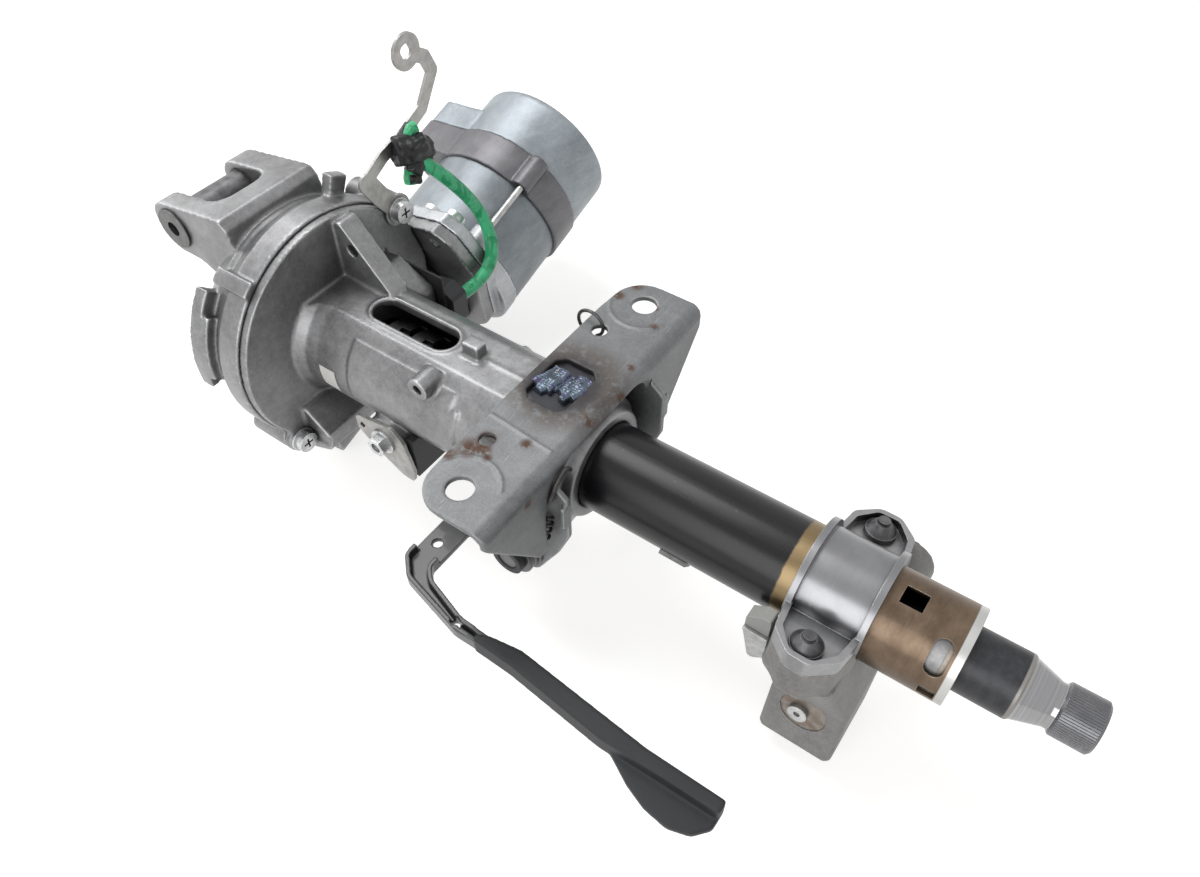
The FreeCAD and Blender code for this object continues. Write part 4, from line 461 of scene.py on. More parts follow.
def bracket_steel(name, heat):
    """Weathered zinc steel of the mounting bracket, with rust spots, burnt by heat or dark at the welds."""
    f = Finish(name)
    cloud = f.grain(26.0, 4.0, 0.6)
    patch = f.grain(5.0, 4.0, 0.68, shift=(11, 5, 2))
    lines = f.grain(0.9, 3.0, 0.6, stretch=(1, 0.06, 1))
    fine = f.grain(1.1, 3.0, 0.65)
    tone = mottled((cloud, 0.4), (patch, 0.3), (fine, 0.3))
    colour = f.blend(tone, (0.13, 0.134, 0.138), (0.25, 0.256, 0.262))
    colour = f.blend(lines.step(0.62, 0.75) * 0.35, colour, (0.5, 0.5, 0.5))
    colour = f.blend(f.ridges() * 0.5, colour, (0.6, 0.6, 0.6))
    halo = f.ball(WELD_MIDDLE, 15.0, 8.0 if heat else 3.0)
    if heat:
        ring = f.ball(BURN_MIDDLE, 20.0, 16.0) * patch.step(0.3, 0.55)
        colour = f.blend(ring * 0.75, colour, (0.06, 0.042, 0.03))
        colour = f.blend(halo * 0.85, colour, (0.02, 0.018, 0.02))
    else:
        colour = f.blend(halo * 0.95, colour, f.blend(patch, (0.008, 0.008, 0.01), (0.04, 0.042, 0.055)))
    spots = 0.0
    for centre, reach in RUST_SPOTS:
        spots = f.ball(centre, reach * 0.3, reach * 1.3) + spots
    rust = (spots * patch.step(0.36, 0.52)).smaller(1.0)
    colour = f.blend(rust * 0.95, colour, f.blend(fine, (0.03, 0.014, 0.007), (0.15, 0.07, 0.035)))
    freckles = f.cells(6.0, shift=(2, 2, 2)).step(0.07, 0.03)
    colour = f.blend(freckles * 0.5, colour, (0.06, 0.045, 0.035))
    # Painted shade: darkens the colour in corners and gaps.
    colour = f.painted_shade(colour, 14.0, 0.15, 0.9, 0.7, (0.03, 0.028, 0.026))
    f.raise_by(fine * 0.5 + patch * 0.5 + rust * 0.8 + lines * 0.2, 0.09)
    return f.surface(Base_Color=colour, Roughness=0.4 + patch * 0.18 + rust * 0.3,
                     Metallic=0.4 - rust * 0.3)


def weld_metal():
    """Rippled weld metal with blue, violet and straw heat tints."""
    f = Finish("heat_tinted_weld")
    y = f.axes()[1]
    patch = f.grain(5.0, 3.0, 0.6, warp=1.0)
    fine = f.grain(0.9, 3.0, 0.6)
    cloud = fine.step(0.2, 0.8) * 0.4 + patch.step(0.3, 0.6) * 0.6
    tint = f.blend(cloud, (0.03, 0.045, 0.07), (0.14, 0.18, 0.22))
    tint = f.blend(patch.step(0.52, 0.6) * 0.8, tint, (0.07, 0.05, 0.16))
    tint = f.blend(patch.step(0.62, 0.68) * 0.8, tint, (0.1, 0.075, 0.04))
    tint = f.blend(f.cells(4.6).step(0.12, 0.06) * 0.8, tint, (0.5, 0.16, 0.03))
    ripple = ((y + patch * 3.0) * 4.2).sine()
    f.raise_by(ripple * 0.3 + fine * 0.2, 0.2)
    return f.surface(Base_Color=tint, Roughness=0.14 + fine * 0.14, Metallic=0.6)


def bright_band():
    """Bright strip steel of the lock's clamp, brushed round the tube and rubbed at its ears."""
    f = Finish("clamp_bright_steel")
    hoops = f.grain(0.8, 3.0, 0.6, stretch=(1, 0.05, 0.05))
    cloud = f.grain(14.0, 3.0, 0.55)
    patch = f.grain(3.0, 4.0, 0.65)
    colour = f.blend(cloud.step(0.3, 0.7) * 0.5 + hoops * 0.5, (0.2, 0.202, 0.21), (0.27, 0.272, 0.28))
    ears = abs(f.axes()[1]).step(29.0, 32.0)
    colour = f.blend(ears * (0.5 + patch.step(0.3, 0.7) * 0.4), colour, (0.33, 0.33, 0.335))
    colour = f.blend(f.edges(0.5) * 0.5, colour, (0.75, 0.75, 0.76))
    # Painted shade: darkens the colour in corners and gaps.
    colour = f.painted_shade(colour, 7.0, 0.15, 0.85, 0.8, (0.025, 0.024, 0.023))
    f.raise_by(hoops * 0.1 + patch * 0.4 * ears, 0.03, 0.5)
    return f.surface(Base_Color=colour, Roughness=0.26 + hoops * 0.05 + ears * 0.08, Metallic=0.9)


def lock_casting():
    """Grey zinc casting of the steering lock, with rust round its side screw."""
    f = Finish("lock_zinc_casting")
    cloud = f.grain(20.0, 3.0, 0.6)
    patch = f.grain(4.0, 4.0, 0.66)
    fine = f.grain(1.3, 3.0, 0.65)
    tone = mottled((cloud, 0.35), (patch, 0.35), (fine, 0.3))
    colour = f.blend(tone, (0.15, 0.147, 0.142), (0.29, 0.285, 0.276))
    x, y, z = [(low + high) * (0.5 / MM) for low, high in zip(*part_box("lock_cover"))]
    rust = f.ball((x, y, z), 7.5, 5.0) * patch.step(0.4, 0.5)
    low = f.ball((x + 12, y, z - 22), 4.0, 12.0) * f.cells(3.4).step(0.2, 0.1)
    stain = (rust + low * 0.8).smaller(1.0)
    colour = f.blend(stain * 0.9, colour, f.blend(fine, (0.045, 0.018, 0.008), (0.2, 0.09, 0.04)))
    colour = f.blend(f.ridges() * 0.55, colour, (0.55, 0.55, 0.54))
    # Painted shade: darkens the colour in corners and gaps.
    colour = f.painted_shade(colour, 16.0, 0.15, 0.9, 0.6, (0.03, 0.028, 0.025))
    f.raise_by(fine * 0.8 + patch * 0.6, 0.13)
    return f.surface(Base_Color=colour, Roughness=0.42 + patch * 0.2 + stain * 0.2, Metallic=0.35)


def lever_paint():
    """Black paint on the lever's steel arm, glossier than the handle and chipped on its crests."""
    f = Finish("lever_black_paint")
    cloud = f.grain(9.0, 3.0, 0.6)
    fine = f.grain(1.0, 3.0, 0.6)
    colour = f.blend(cloud, (0.02, 0.02, 0.021), (0.05, 0.051, 0.053))
    chips = f.ridges(0.53, 0.6) * f.grain(3.0, 3.0, 0.7).step(0.45, 0.65)
    colour = f.blend(chips * 0.6, colour, (0.25, 0.25, 0.25))
    f.raise_by(fine * 0.4 + cloud * 0.3, 0.06)
    return f.surface(Base_Color=colour, Roughness=0.28 + cloud * 0.12, Metallic=0.0, Coat_Weight=0.2)


def green_sleeve():
    """Green plastic sleeve drawn over the lead, creased and slightly see-through."""
    f = Finish("green_sleeve")
    folds = f.grain(9.0, 2.0, 0.5, stretch=(1, 1, 0.6), warp=0.8)
    fine = f.grain(1.6, 3.0, 0.6)
    deep = folds.step(0.32, 0.62)
    # Painted shade: the blend below paints the low parts of the folds, which the bump sinks, darker green.
    colour = f.blend(deep, (0.02, 0.3, 0.12), (0.08, 0.56, 0.27))
    colour = f.blend(folds.within(0.47, 0.5, 0.02) * 0.5, colour, (0.2, 0.6, 0.33))
    f.raise_by(deep * 1.1 + fine * 0.15, 0.5)
    return f.surface(Base_Color=colour, Roughness=0.3 + folds * 0.12, Metallic=0.0, Coat_Weight=0.08,
                     Coat_Roughness=0.1, Specular_IOR_Level=0.3, Subsurface_Weight=0.1,
                     Subsurface_Radius=(0.001, 0.003, 0.001))


def floor_white():
    """White stage floor that keeps the shadows."""
    f = Finish("stage_floor_white")
    path = f.tree.nodes.new("ShaderNodeLightPath")
    seen = Value(f.tree, path.outputs["Is Camera Ray"])
    for name in ("Is Glossy Ray", "Is Transmission Ray"):
        seen = seen.larger(Value(f.tree, path.outputs[name]))
    light = f.node("ShaderNodeEmission", None, {"Color": (1.0, 0.995, 0.985), "Strength": 0.7})
    bare = f.node("ShaderNodeBsdfDiffuse", None, {"Color": (0.62, 0.616, 0.61)})
    both = f.node("ShaderNodeAddShader", None, {0: light, 1: bare})
    mixed = f.node("ShaderNodeMixShader", None, {0: seen, 1: bare, 2: both})
    f.feed(f.tree.nodes["Material Output"].inputs["Surface"], mixed)
    return f.material


def sticker_film():
    """Bare white label film, faintly yellowed and rubbed."""
    f = Finish("bare_label_film")
    cloud = f.grain(6.0, 3.0, 0.6)
    colour = f.blend(cloud, (0.62, 0.61, 0.58), (0.74, 0.735, 0.71))
    f.raise_by(cloud, 0.03)
    return f.surface(Base_Color=colour, Roughness=0.42 + cloud * 0.1, Metallic=0.0)


# ---------------------------------------------------------------- mesh tools


def piece(name, vertices, faces, material, body):
    """A mesh object that rides on a body, smooth but for its sharp edges."""
    mesh = bpy.data.meshes.new(name)
    mesh.from_pydata([tuple(v) for v in vertices], [], faces)
    work = bmesh.new()
    work.from_mesh(mesh)
    bmesh.ops.recalc_face_normals(work, faces=work.faces)
    for face in work.faces:
        face.smooth = True
    work.to_mesh(mesh)
    work.free()
    mesh.set_sharp_from_angle(angle=math.radians(SHARP_ANGLE))
    mesh.materials.append(material)
    made = bpy.data.objects.new(name, mesh)
    bpy.context.scene.collection.objects.link(made)
    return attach(made, body)


def swept(points, radius, sides, closed):
    """Vertices and faces of a round rod along points, in metres."""
    vertices = []
    faces = []
    count = len(points)
    side = None
    for index, point in enumerate(points):
        ahead = points[(index + 1) % count] if closed or index + 1 < count else point
        back = points[index - 1] if closed or index > 0 else point
        run = (ahead - back).normalized()
        if side is None:
            side = run.orthogonal().normalized()
        side = (side - run * side.dot(run)).normalized()
        across = run.cross(side)
        for step in range(sides):
            turn = 2 * math.pi * step / sides
            vertices.append(point + side * math.cos(turn) * radius + across * math.sin(turn) * radius)
    rings = count if closed else count - 1
    for index in range(rings):
        for step in range(sides):
            a = index * sides + step
            b = index * sides + (step + 1) % sides
            c = ((index + 1) % count) * sides + (step + 1) % sides
            d = ((index + 1) % count) * sides + step
            faces.append((a, b, c, d))
    if not closed:
        faces.append(tuple(range(sides)))
        faces.append(tuple(range((count - 1) * sides, count * sides)))
    return vertices, faces


def smooth_line(points, steps):
    """Points of a smooth curve that passes through the given ones."""
    line = []
    last = len(points) - 1
    for index in range(last):
        p = [points[max(0, min(last, index + shift))] for shift in (-1, 0, 1, 2)]
        for step in range(steps):
            t = step / steps
            line.append(0.5 * (2 * p[1] + (p[2] - p[0]) * t + (2 * p[0] - 5 * p[1] + 4 * p[2] - p[3]) * t * t
                               + (3 * p[1] - p[0] - 3 * p[2] + p[3]) * t ** 3))
    line.append(points[-1])
    return line


def patch(rows, cols, place):
    """Vertices and faces of a sheet over a surface, from place(u, v, layer), layer 0 below and 1 above."""
    vertices = []
    faces = []
    for layer in (0.0, 1.0):
        for row in range(rows + 1):
            for col in range(cols + 1):
                vertices.append(place(row / rows, col / cols, layer))
    size = (rows + 1) * (cols + 1)
    width = cols + 1
    for row in range(rows):
        for col in range(cols):
            a = row * width + col
            faces.append((a, a + width, a + width + 1, a + 1))
            faces.append((a + size, a + size + 1, a + size + width + 1, a + size + width))
    ring = list(range(cols))
    ring += [row * width + cols for row in range(rows)]
    ring += [rows * width + col for col in range(cols, 0, -1)]
    ring += [row * width for row in range(rows, 0, -1)]
    for first, last in zip(ring, ring[1:] + ring[:1]):
        faces.append((first, last, last + size, first + size))
    return vertices, faces


def on_tube(x, angle, radius):
    """A point round the steering axis, from millimetres and degrees past +Y."""
    turn = math.radians(angle)
    return Vector((x, radius * math.cos(turn), radius * math.sin(turn))) * MM


def sector(x_low, x_high, r_low, r_high, first, last):
    """Vertices and faces of a block round the steering axis, between radii and angles."""
    def place(u, v, layer):
        return on_tube(x_low + (x_high - x_low) * u, first + (last - first) * v, r_high if layer else r_low)
    return patch(1, 24, place)


def rod(points, radius, closed=False, sides=10):
    """Vertices and faces of a rod through points in millimetres."""
    line = [Vector(point) * MM for point in points]
    return swept(line, radius * MM, sides, closed)


def arc(centre, radius, first, last):
    """16 points of an arc over the XY plane, in millimetres and degrees."""
    turns = [math.radians(first + (last - first) * step / 15) for step in range(16)]
    x, y, z = centre
    return [(x + radius * math.cos(turn), y + radius * math.sin(turn), z) for turn in turns]


def settled(made):
    """Writes what an object's modifiers make of its mesh into the mesh, and returns its number of faces."""
    graph = bpy.context.evaluated_depsgraph_get()
    made.data = bpy.data.meshes.new_from_object(made.evaluated_get(graph))
    made.modifiers.clear()
    return len(made.data.polygons)


def melted(name, node, body, material, slot, voxel, passes, limit, forms=(), keep_node=True):
    """A soft-edged skin that stands for a CAD node: its solid and more closed forms, grown together.

    The voxel is in millimetres, passes is how often the skin is smoothed, and limit is its most triangles.
    """
    work = bmesh.new()
    if keep_node:
        work.from_mesh(NODES[node].data)
        bmesh.ops.remove_doubles(work, verts=work.verts, dist=0.002 * MM)
    for vertices, faces in forms:
        corners = [work.verts.new(vertex) for vertex in vertices]
        for face in faces:
            work.faces.new([corners[index] for index in face])
    mesh = bpy.data.meshes.new(name)
    work.to_mesh(mesh)
    work.free()
    made = bpy.data.objects.new(name, mesh)
    bpy.context.scene.collection.objects.link(made)
    grown = made.modifiers.new("grown", "REMESH")
    grown.mode = "VOXEL"
    grown.voxel_size = voxel * MM
    eased = made.modifiers.new("eased", "SMOOTH")
    eased.factor = 0.5
    eased.iterations = passes
    count = settled(made)
    if count * 2 > limit:
        thinned = made.modifiers.new("thinned", "DECIMATE")
        thinned.ratio = limit / (count * 2)
        settled(made)
    made.data.polygons.foreach_set("use_smooth", [True] * len(made.data.polygons))
    made.data.materials.clear()
    made.data.materials.append(material)
    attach(made, body)
    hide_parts(node)
    return made


def crumpled(made, size, height):
    """Pushes a finely meshed piece in and out by a fixed noise, in millimetres."""
    mesh = made.data
    moves = [noise.noise(v.co / (size * MM)) * height * MM for v in mesh.vertices]
    spots = [v.co + v.normal * move for v, move in zip(mesh.vertices, moves)]
    mesh.vertices.foreach_set("co", [value for spot in spots for value in spot])
    mesh.update()


def dress(material, *names):
    """Gives CAD nodes a material."""
    for name in names:
        slots = NODES[name].material_slots
        for index in range(len(slots)):
            NODES[name].data.materials[index] = material


def settings(name):
    """One of the scene's groups of sizes and colours."""
    return getattr(bpy.context.scene, name)


# ---------------------------------------------------------------- properties


def colour_property(name, description, default):
    """A colour that a user may change."""
    return bpy.props.FloatVectorProperty(name=name, description=description, subtype="COLOR", size=3,
                                         default=default, min=0.0, max=1.0)


class ColumnColours(bpy.types.PropertyGroup):
    """Colours of the castings, the motor and the plastic pieces."""

    cast_dark: colour_property("Casting dark", "Darker tone of the cast housings", (0.155, 0.155, 0.158))
    cast_light: colour_property("Casting light", "Lighter tone of the cast housings", (0.33, 0.332, 0.337))
    motor_dark: colour_property("Motor dark", "Darker tone of the motor", (0.2, 0.222, 0.242))
    motor_light: colour_property("Motor light", "Lighter tone of the motor", (0.34, 0.375, 0.4))
    plastic: colour_property("Plastic", "Colour of the black plastic pieces", (0.012, 0.0125, 0.014))


class ColumnSizes(bpy.types.PropertyGroup):
    """Sizes of the small forms that the scene adds."""

    lead_width: bpy.props.FloatProperty(name="Lead width", description="Width of the sleeved lead",
                                        default=0.0074, min=0.002, max=0.02, subtype="DISTANCE")
    sticker_thick: bpy.props.FloatProperty(name="Sticker thickness", description="Thickness of the label",
                                           default=0.0002, min=0.0001, max=0.001, subtype="DISTANCE")


class ColumnStage(bpy.types.PropertyGroup):
    """Camera and light."""

    lens: bpy.props.FloatProperty(name="Lens", description="Focal length in millimetres on a 36 mm sensor",
                                  default=28.54, min=10, max=200)
    azimuth: bpy.props.FloatProperty(name="Azimuth", description="Turn of the camera round the object",
                                     default=math.radians(34.89), subtype="ANGLE")
    elevation: bpy.props.FloatProperty(name="Elevation", description="Height angle of the camera",
                                       default=math.radians(48.88), subtype="ANGLE")
    key_power: bpy.props.FloatProperty(name="Key light", description="Power of the large soft lamp",
                                       default=15.0, min=0, subtype="POWER")
    world_level: bpy.props.FloatProperty(name="World level", description="Strength of the surrounding light",
                                         default=0.34, min=0, max=2)


# ---------------------------------------------------------------- operators


class COLUMN_OT_stage(bpy.types.Operator):
    """Makes the camera, the lamps, the world and the floor"""

    bl_idname = "column.stage"
    bl_label = "Stage"

    def execute(self, context):
        """Makes the stage."""
        chosen = settings("column_stage")
        a, e = chosen.azimuth, chosen.elevation
        camera = bpy.data.objects.new("camera", bpy.data.cameras.new("camera"))
        context.scene.collection.objects.link(camera)
        context.scene.camera = camera
        camera.data.sensor_width = 36.0
        camera.data.lens = chosen.lens
        camera.data.clip_start = 0.01
        camera.location = Vector(CAMERA_SPOT) * MM
        right = Vector((math.cos(a), math.sin(a), 0))
        back = Vector((math.sin(a) * math.cos(e), -math.cos(a) * math.cos(e), math.sin(e)))
        up = back.cross(right)
        turned = Matrix((right, up, back)).transposed().to_4x4()
        camera.matrix_world = Matrix.Translation(camera.location) @ turned
        for name, spot, target, size, share in LAMPS:
            self.lamp(context, name, spot, target, size, chosen.key_power * share)
        world = bpy.data.worlds.new("studio_world")
        context.scene.world = world
        world.use_nodes = True
        tree = world.node_tree
        ground = tree.nodes["Background"]
        path = tree.nodes.new("ShaderNodeLightPath")
        seen = Value(tree, path.outputs["Is Camera Ray"])
        for name in ("Is Glossy Ray", "Is Transmission Ray"):
            seen = seen.larger(Value(tree, path.outputs[name]))
        level = chosen.world_level + seen * (1.0 - chosen.world_level)
        tree.links.new(level.socket, ground.inputs["Strength"])
        ground.inputs["Color"].default_value = (1, 1, 1, 1)
        low = CAD_BOX[0].z - FLOOR_GAP
        mesh = bpy.data.meshes.new("floor")
        corners = [(x * FLOOR_HALF, y * FLOOR_HALF, low) for x, y in ((-1, -1), (1, -1), (1, 1), (-1, 1))]
        mesh.from_pydata(corners, [], [(0, 1, 2, 3)])
        mesh.materials.append(floor_white())
        floor = bpy.data.objects.new("floor", mesh)
        context.scene.collection.objects.link(floor)
        context.scene.view_settings.view_transform = "Standard"
        return {"FINISHED"}

    def lamp(self, context, name, spot, target, size, power):
        """A square area lamp that looks at a target."""
        data = bpy.data.lights.new(name, "AREA")
        data.shape = "SQUARE"
        data.size = size
        data.energy = power
        lamp = bpy.data.objects.new(name, data)
        context.scene.collection.objects.link(lamp)
        lamp.location = spot
        aim = Vector(target) - Vector(spot)
        lamp.rotation_mode = "QUATERNION"
        lamp.rotation_quaternion = aim.to_track_quat("-Z", "Y")


class COLUMN_OT_castings(bpy.types.Operator):
    """Finishes the gear housing and the cast tube, and adds the raised field, slot lip and label"""

    bl_idname = "column.castings"
    bl_label = "Castings"

    def execute(self, context):
        """Finishes the castings."""
        tones = settings("column_colours")
        alloy = cast_alloy("cast_aluminium", tuple(tones.cast_dark), tuple(tones.cast_light))
        melted("gear_housing_skin", "gear_housing", "column", alloy, SLOT["gear_housing"], 1.0, 5, 120000)
        rear, front = [(end, 0, CREST_HEIGHT) for end in LIP_ENDS]
        slot_edge = arc(front, LIP_RADIUS, -90, 90) + arc(rear, LIP_RADIUS, 90, 270)
        forms = [sector(*RAISED_FIELD), rod(slot_edge, 1.1, True)]
        forms += [rod(run, 0.6) for run in PARTING_LINES]
        melted("column_housing_skin", "column_housing", "column", alloy, SLOT["column_housing"], 0.9, 4,
               120000, forms)

        thick = settings("column_sizes").sticker_thick / MM

        def label_place(u, v, layer):
            return on_tube(LABEL_START[0] + LABEL_SPAN[0] * u, LABEL_START[1] + LABEL_SPAN[1] * v,
                           LABEL_RADIUS + layer * thick)
        label = piece("bare_label", *patch(4, 24, label_place), sticker_film(), "column")
        return {"FINISHED"}


class COLUMN_OT_motor(bpy.types.Operator):
    """Finishes the motor's frames, body and bolts"""

    bl_idname = "column.motor"
    bl_label = "Motor"

    def execute(self, context):
        """Finishes the motor."""
        tones = settings("column_colours")
        dark, light = tuple(tones.motor_dark), tuple(tones.motor_light)
        body = sprayed_alloy("motor_body_paint", [c * 0.8 for c in dark], [c * 0.85 for c in light])
        dress(body, "motor_body")
        cap = sprayed_alloy("motor_cap_alloy", [c * 1.05 for c in dark], [c * 1.1 for c in light])
        melted("motor_cap_skin", "motor_end_cap", "column", cap, SLOT["motor_end_cap"], 0.9, 4, 60000)
        middle = sprayed_alloy("motor_frame_alloy", (0.1, 0.098, 0.105), (0.19, 0.186, 0.196))
        melted("motor_frame_skin", "motor_mid_frame", "column", middle, SLOT["motor_mid_frame"], 0.8, 3,
               60000)
        flange = cast_alloy("motor_flange_alloy", (0.27, 0.28, 0.29), (0.5, 0.515, 0.53))
        melted("motor_flange_skin", "motor_flange", "column", flange, SLOT["motor_flange"], 0.8, 4, 60000)
        steel = plated_steel("motor_bolt_steel", (0.3, 0.3, 0.3), (0.55, 0.55, 0.54))
        dress(steel, "motor_through_bolts", "motor_rear_bearing", "motor_rotor", "motor_stator")
        return {"FINISHED"}


class COLUMN_OT_fasteners(bpy.types.Operator):
    """Finishes the screws, bolts, bushes and bearings"""

    bl_idname = "column.fasteners"
    bl_label = "Fasteners and bearings"

    def execute(self, context):
        """Finishes the small steel pieces."""
        bright = plated_steel("zinc_bright_screws", (0.42, 0.425, 0.43), (0.72, 0.73, 0.74), 0.2)
        dress(bright, "housing_screws", "motor_screws", "sensor_bolt")
        dark = plated_steel("bush_dark_steel", (0.06, 0.06, 0.062), (0.17, 0.17, 0.175), 0.34)
        dress(dark, "pivot_collar")
        bush = plated_steel("bush_grey_steel", (0.08, 0.08, 0.08), (0.18, 0.18, 0.18), 0.34)
        dress(bush, "pivot_bushes", "tilt_nut", "fixed_cam", "moving_cam", "tilt_bolt", "jacket_stop")
        ground = plated_steel("ground_bearing_steel", (0.14, 0.14, 0.14), (0.26, 0.26, 0.26), 0.28)
        dress(ground, "output_bearing", "cover_bearing", "worm_bearings", "upper_bearing")
        return {"FINISHED"}


class COLUMN_OT_drive(bpy.types.Operator):
    """Finishes the shafts, the worm drive and the torque sensor"""

    bl_idname = "column.drive"
    bl_label = "Shafts and worm drive"

    def execute(self, context):
        """Finishes the turning pieces."""
        turned = plated_steel("turned_shaft_steel", (0.26, 0.26, 0.265), (0.5, 0.5, 0.51), 0.28,
                              stretch=(1, 0.05, 0.05))
        dress(turned, "output_shaft", "torsion_bar", "input_shaft", "worm_wheel_hub", "worm_shaft",
              "worm_end_plug", "lock_collar", "lock_bolt")
        rings = plated_steel("sensor_ring_dark", (0.02, 0.02, 0.022), (0.06, 0.06, 0.062), 0.34)
        dress(rings, "sensor_rings")
        dress(dull_plastic("worm_wheel_nylon", (0.5, 0.46, 0.36), (0.62, 0.58, 0.47)), "worm_wheel_rim")
        dress(dull_plastic("coupling_rubber", (0.012, 0.012, 0.012), (0.03, 0.03, 0.03), 0.7),
              "worm_coupling", "sensor_coil", "lock_solenoid")
        dress(shaft_steel(), "upper_shaft")
        return {"FINISHED"}


class COLUMN_OT_jacket(bpy.types.Operator):
    """Finishes the jacket tube and its bearing retainer"""

    bl_idname = "column.jacket"
    bl_label = "Jacket tube"

    def execute(self, context):
        """Finishes the jacket tube."""
        dress(jacket_paint(), "jacket_tube")
        spring = plated_steel("retainer_spring_steel", (0.14, 0.12, 0.1), (0.32, 0.29, 0.25))
        dress(spring, "bearing_retainer")
        return {"FINISHED"}


class COLUMN_OT_lock(bpy.types.Operator):
    """Finishes the steering lock, its clamp and its plug"""

    bl_idname = "column.lock"
    bl_label = "Steering lock"

    def execute(self, context):
        """Finishes the lock."""
        dress(bright_band(), "lock_clamp_cap")
        melted("lock_housing_skin", "lock_housing", "jacket", lock_casting(), SLOT["lock_housing"], 0.7, 4,
               60000)
        dress(plated_steel("lock_screw_bright", (0.35, 0.35, 0.35), (0.6, 0.6, 0.6), 0.22), "lock_screw")
        dress(plated_steel("lock_cover_zinc", (0.14, 0.1, 0.075), (0.3, 0.28, 0.255)), "lock_cover")
        dress(plated_steel("shear_bolt_grey", (0.07, 0.07, 0.073), (0.17, 0.17, 0.175), 0.36), "shear_bolts")
        dress(dull_plastic("plug_white", (0.3, 0.3, 0.285), (0.38, 0.38, 0.365), 0.4), "lock_plug")
        dress(plated_steel("plug_clip_steel", (0.28, 0.28, 0.28), (0.5, 0.5, 0.5)), "lock_plug_clip")
        return {"FINISHED"}


class COLUMN_OT_bracket(bpy.types.Operator):
    """Finishes the mounting bracket and its wire ring, and adds its welds, hook and spring"""

    bl_idname = "column.bracket"
    bl_label = "Mounting bracket"

    def execute(self, context):
        """Finishes the bracket."""
        forms = [rod(arc((230, -71, 37.0), 17.5, 25, 160), 1.1),
                 rod(arc((230, 71, 37.0), 17.5, -160, -25), 1.1), rod(PLATE_CREASE, 0.9)]
        melted("bracket_plate_skin", "mounting_bracket", "bracket",
               bracket_steel("bracket_plate_steel", True), SLOT["mounting_bracket"], 0.6, 3, 90000, forms)
        melted("bracket_channel_skin", "tilt_bracket", "bracket",
               bracket_steel("bracket_channel_steel", False), SLOT["tilt_bracket"], 0.8, 2, 50000)
        dark_wire = plated_steel("spring_dark_steel", (0.03, 0.028, 0.026), (0.1, 0.095, 0.09), 0.4)
        x, y, z = COIL_START
        turns = [(x + COIL_RADIUS * math.sin(k * COIL_STEP),
                  y + k * COIL_DRIFT[0] + COIL_RADIUS * math.cos(k * COIL_STEP), z + k * COIL_DRIFT[1])
                 for k in range(COIL_POINTS)]
        for name, run, thick in (("return_hook", HOOK_RUN, 1.3), ("return_spring", turns, 0.8)):
            line = smooth_line([Vector(point) for point in run], 4)
            made = piece(name, *rod(line, thick), dark_wire, "bracket")
        pads = []
        for centre, low, high in WELD_RUNS:
            for across in (-3.4, 0.0, 3.2):
                ends = [(centre + across - 1.6, low + abs(across), 35.2), (centre + across + 1.6, high, 35.4)]
                pads.append(rod(ends, 2.9, False, 14))
        welds = melted("weld_pads", "weld_beads", "bracket", weld_metal(), SLOT["weld_beads"], 0.45, 2, 40000,
                       pads, False)
        crumpled(welds, 5.0, 1.3)
        dress(plated_steel("wire_dark_steel", (0.06, 0.06, 0.06), (0.16, 0.155, 0.15)), "wire_ring")
        return {"FINISHED"}


class COLUMN_OT_lever(bpy.types.Operator):
    """Finishes the tilt lever and its handle"""

    bl_idname = "column.lever"
    bl_label = "Tilt lever"

    def execute(self, context):
        """Finishes the lever."""
        tones = settings("column_colours")
        melted("lever_arm_skin", "lever_arm", "lever", lever_paint(), SLOT["lever_arm"], 0.5, 3, 30000)
        black = dull_plastic("handle_black_plastic", tuple(tones.plastic), (0.035, 0.037, 0.04), 0.5, 1.2)
        dress(black, "lever_hub")
        melted("lever_handle_skin", "lever_handle", "lever", black, SLOT["lever_handle"], 0.7, 6, 30000)
        return {"FINISHED"}


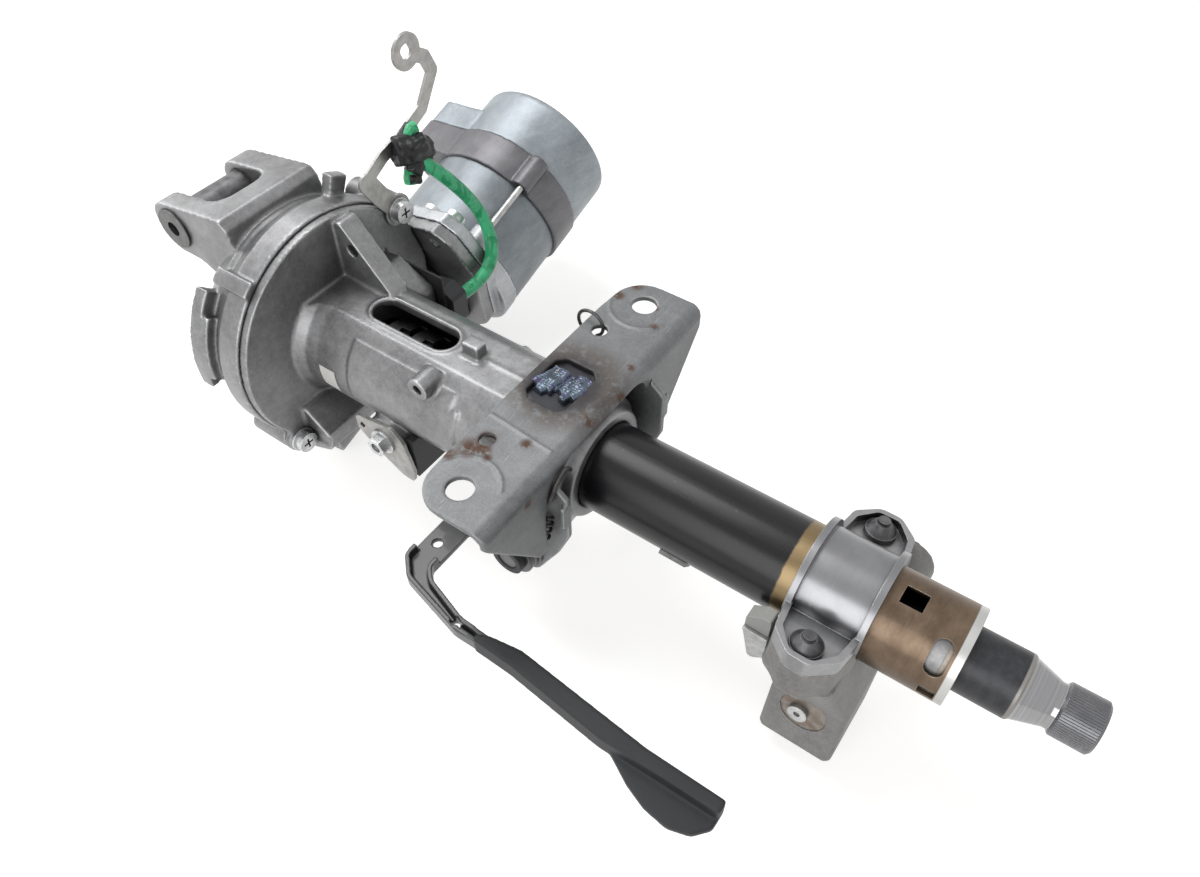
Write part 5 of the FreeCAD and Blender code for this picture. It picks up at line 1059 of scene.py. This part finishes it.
class COLUMN_OT_harness(bpy.types.Operator):
    """Finishes the harness strip, and makes the sleeved lead and its clip"""

    bl_idname = "column.harness"
    bl_label = "Lead and clip"

    def execute(self, context):
        """Makes the lead."""
        tones = settings("column_colours")
        sizes = settings("column_sizes")
        strip = plated_steel("strip_pressed_steel", (0.26, 0.255, 0.245), (0.44, 0.435, 0.42), 0.34, 0.3)
        dress(strip, "harness_bracket", "sensor_bracket")
        black = dull_plastic("module_black_plastic", tuple(tones.plastic), (0.04, 0.041, 0.043), 0.42)
        dress(black, "sensor_connector", "sensor_box")
        green = green_sleeve()
        wraps = [rod(run, radius) for run, radius in TAPE_WRAPS]
        tape = dull_plastic("wrap_black_tape", (0.006, 0.006, 0.007), (0.02, 0.02, 0.022), 0.34)
        clip = melted("taped_clip", "harness_clip", "column", tape, SLOT["harness_clip"], 0.55, 3, 40000,
                      wraps, False)
        crumpled(clip, 3.5, 1.0)
        ends = [rod(smooth_line([Vector(point) for point in run], 6), 3.1) for run in SLEEVE_TAILS]
        for index, end in enumerate(ends):
            tail = piece(f"sleeve_tail_{index}", *end, green, "column")
            crumpled(tail, 3.0, 0.7)
        route = [(88, 60, 80), (97, 71, 67), (110, 88, 37), (120, 85, 13), (126, 62, 7), (120, 43, 5.5)]
        curve = bpy.data.curves.new("sleeved_lead", "CURVE")
        curve.dimensions = "3D"
        curve.bevel_depth = sizes.lead_width / 2
        curve.bevel_resolution = 6
        curve.use_fill_caps = True
        curve.resolution_u = 16
        line = curve.splines.new("NURBS")
        line.points.add(len(route) - 1)
        for point, spot in zip(line.points, route):
            point.co = (*(Vector(spot) * MM), 1.0)
        for point, width in zip(line.points, (0.94, 1.06, 0.93, 1.08, 0.95, 1.0)):
            point.radius = width
        line.use_endpoint_u = True
        line.order_u = 3
        curve.materials.append(green)
        lead = bpy.data.objects.new("sleeved_lead", curve)
        context.scene.collection.objects.link(lead)
        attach(lead, "column")
        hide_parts("sensor_cable")
        tuple(Vector(route[0]) * MM)
        return {"FINISHED"}


class COLUMN_PT_panel(bpy.types.Panel):
    """Sidebar panel with the column's sizes, colours and steps"""

    bl_label = "Steering Column"
    bl_idname = "COLUMN_PT_panel"
    bl_space_type = "VIEW_3D"
    bl_region_type = "UI"
    bl_category = "Column"

    def draw(self, context):
        """Lists the groups of settings and the operators."""
        for group in ("column_colours", "column_sizes", "column_stage"):
            box = self.layout.box()
            for name in type(settings(group)).__annotations__:
                box.prop(settings(group), name)
        for step in STEPS:
            self.layout.operator(step.bl_idname)


STEPS = (COLUMN_OT_stage, COLUMN_OT_harness, COLUMN_OT_castings, COLUMN_OT_motor, COLUMN_OT_fasteners,
         COLUMN_OT_drive, COLUMN_OT_jacket, COLUMN_OT_lock, COLUMN_OT_bracket, COLUMN_OT_lever)
GROUPS = {"column_colours": ColumnColours, "column_sizes": ColumnSizes, "column_stage": ColumnStage}


def register():
    """Adds the classes and the scene's groups of settings."""
    for made in (*GROUPS.values(), *STEPS, COLUMN_PT_panel):
        bpy.utils.register_class(made)
    for name, made in GROUPS.items():
        setattr(bpy.types.Scene, name, bpy.props.PointerProperty(type=made))


def unregister():
    """Takes the classes and the groups of settings out again."""
    for name in GROUPS:
        delattr(bpy.types.Scene, name)
    for made in reversed((*GROUPS.values(), *STEPS, COLUMN_PT_panel)):
        bpy.utils.unregister_class(made)


def main():
    """Registers the add-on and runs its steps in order."""
    register()
    for step in STEPS:
        group, name = step.bl_idname.split(".")
        getattr(getattr(bpy.ops, group), name)()


if __name__ == "__main__":
    main()
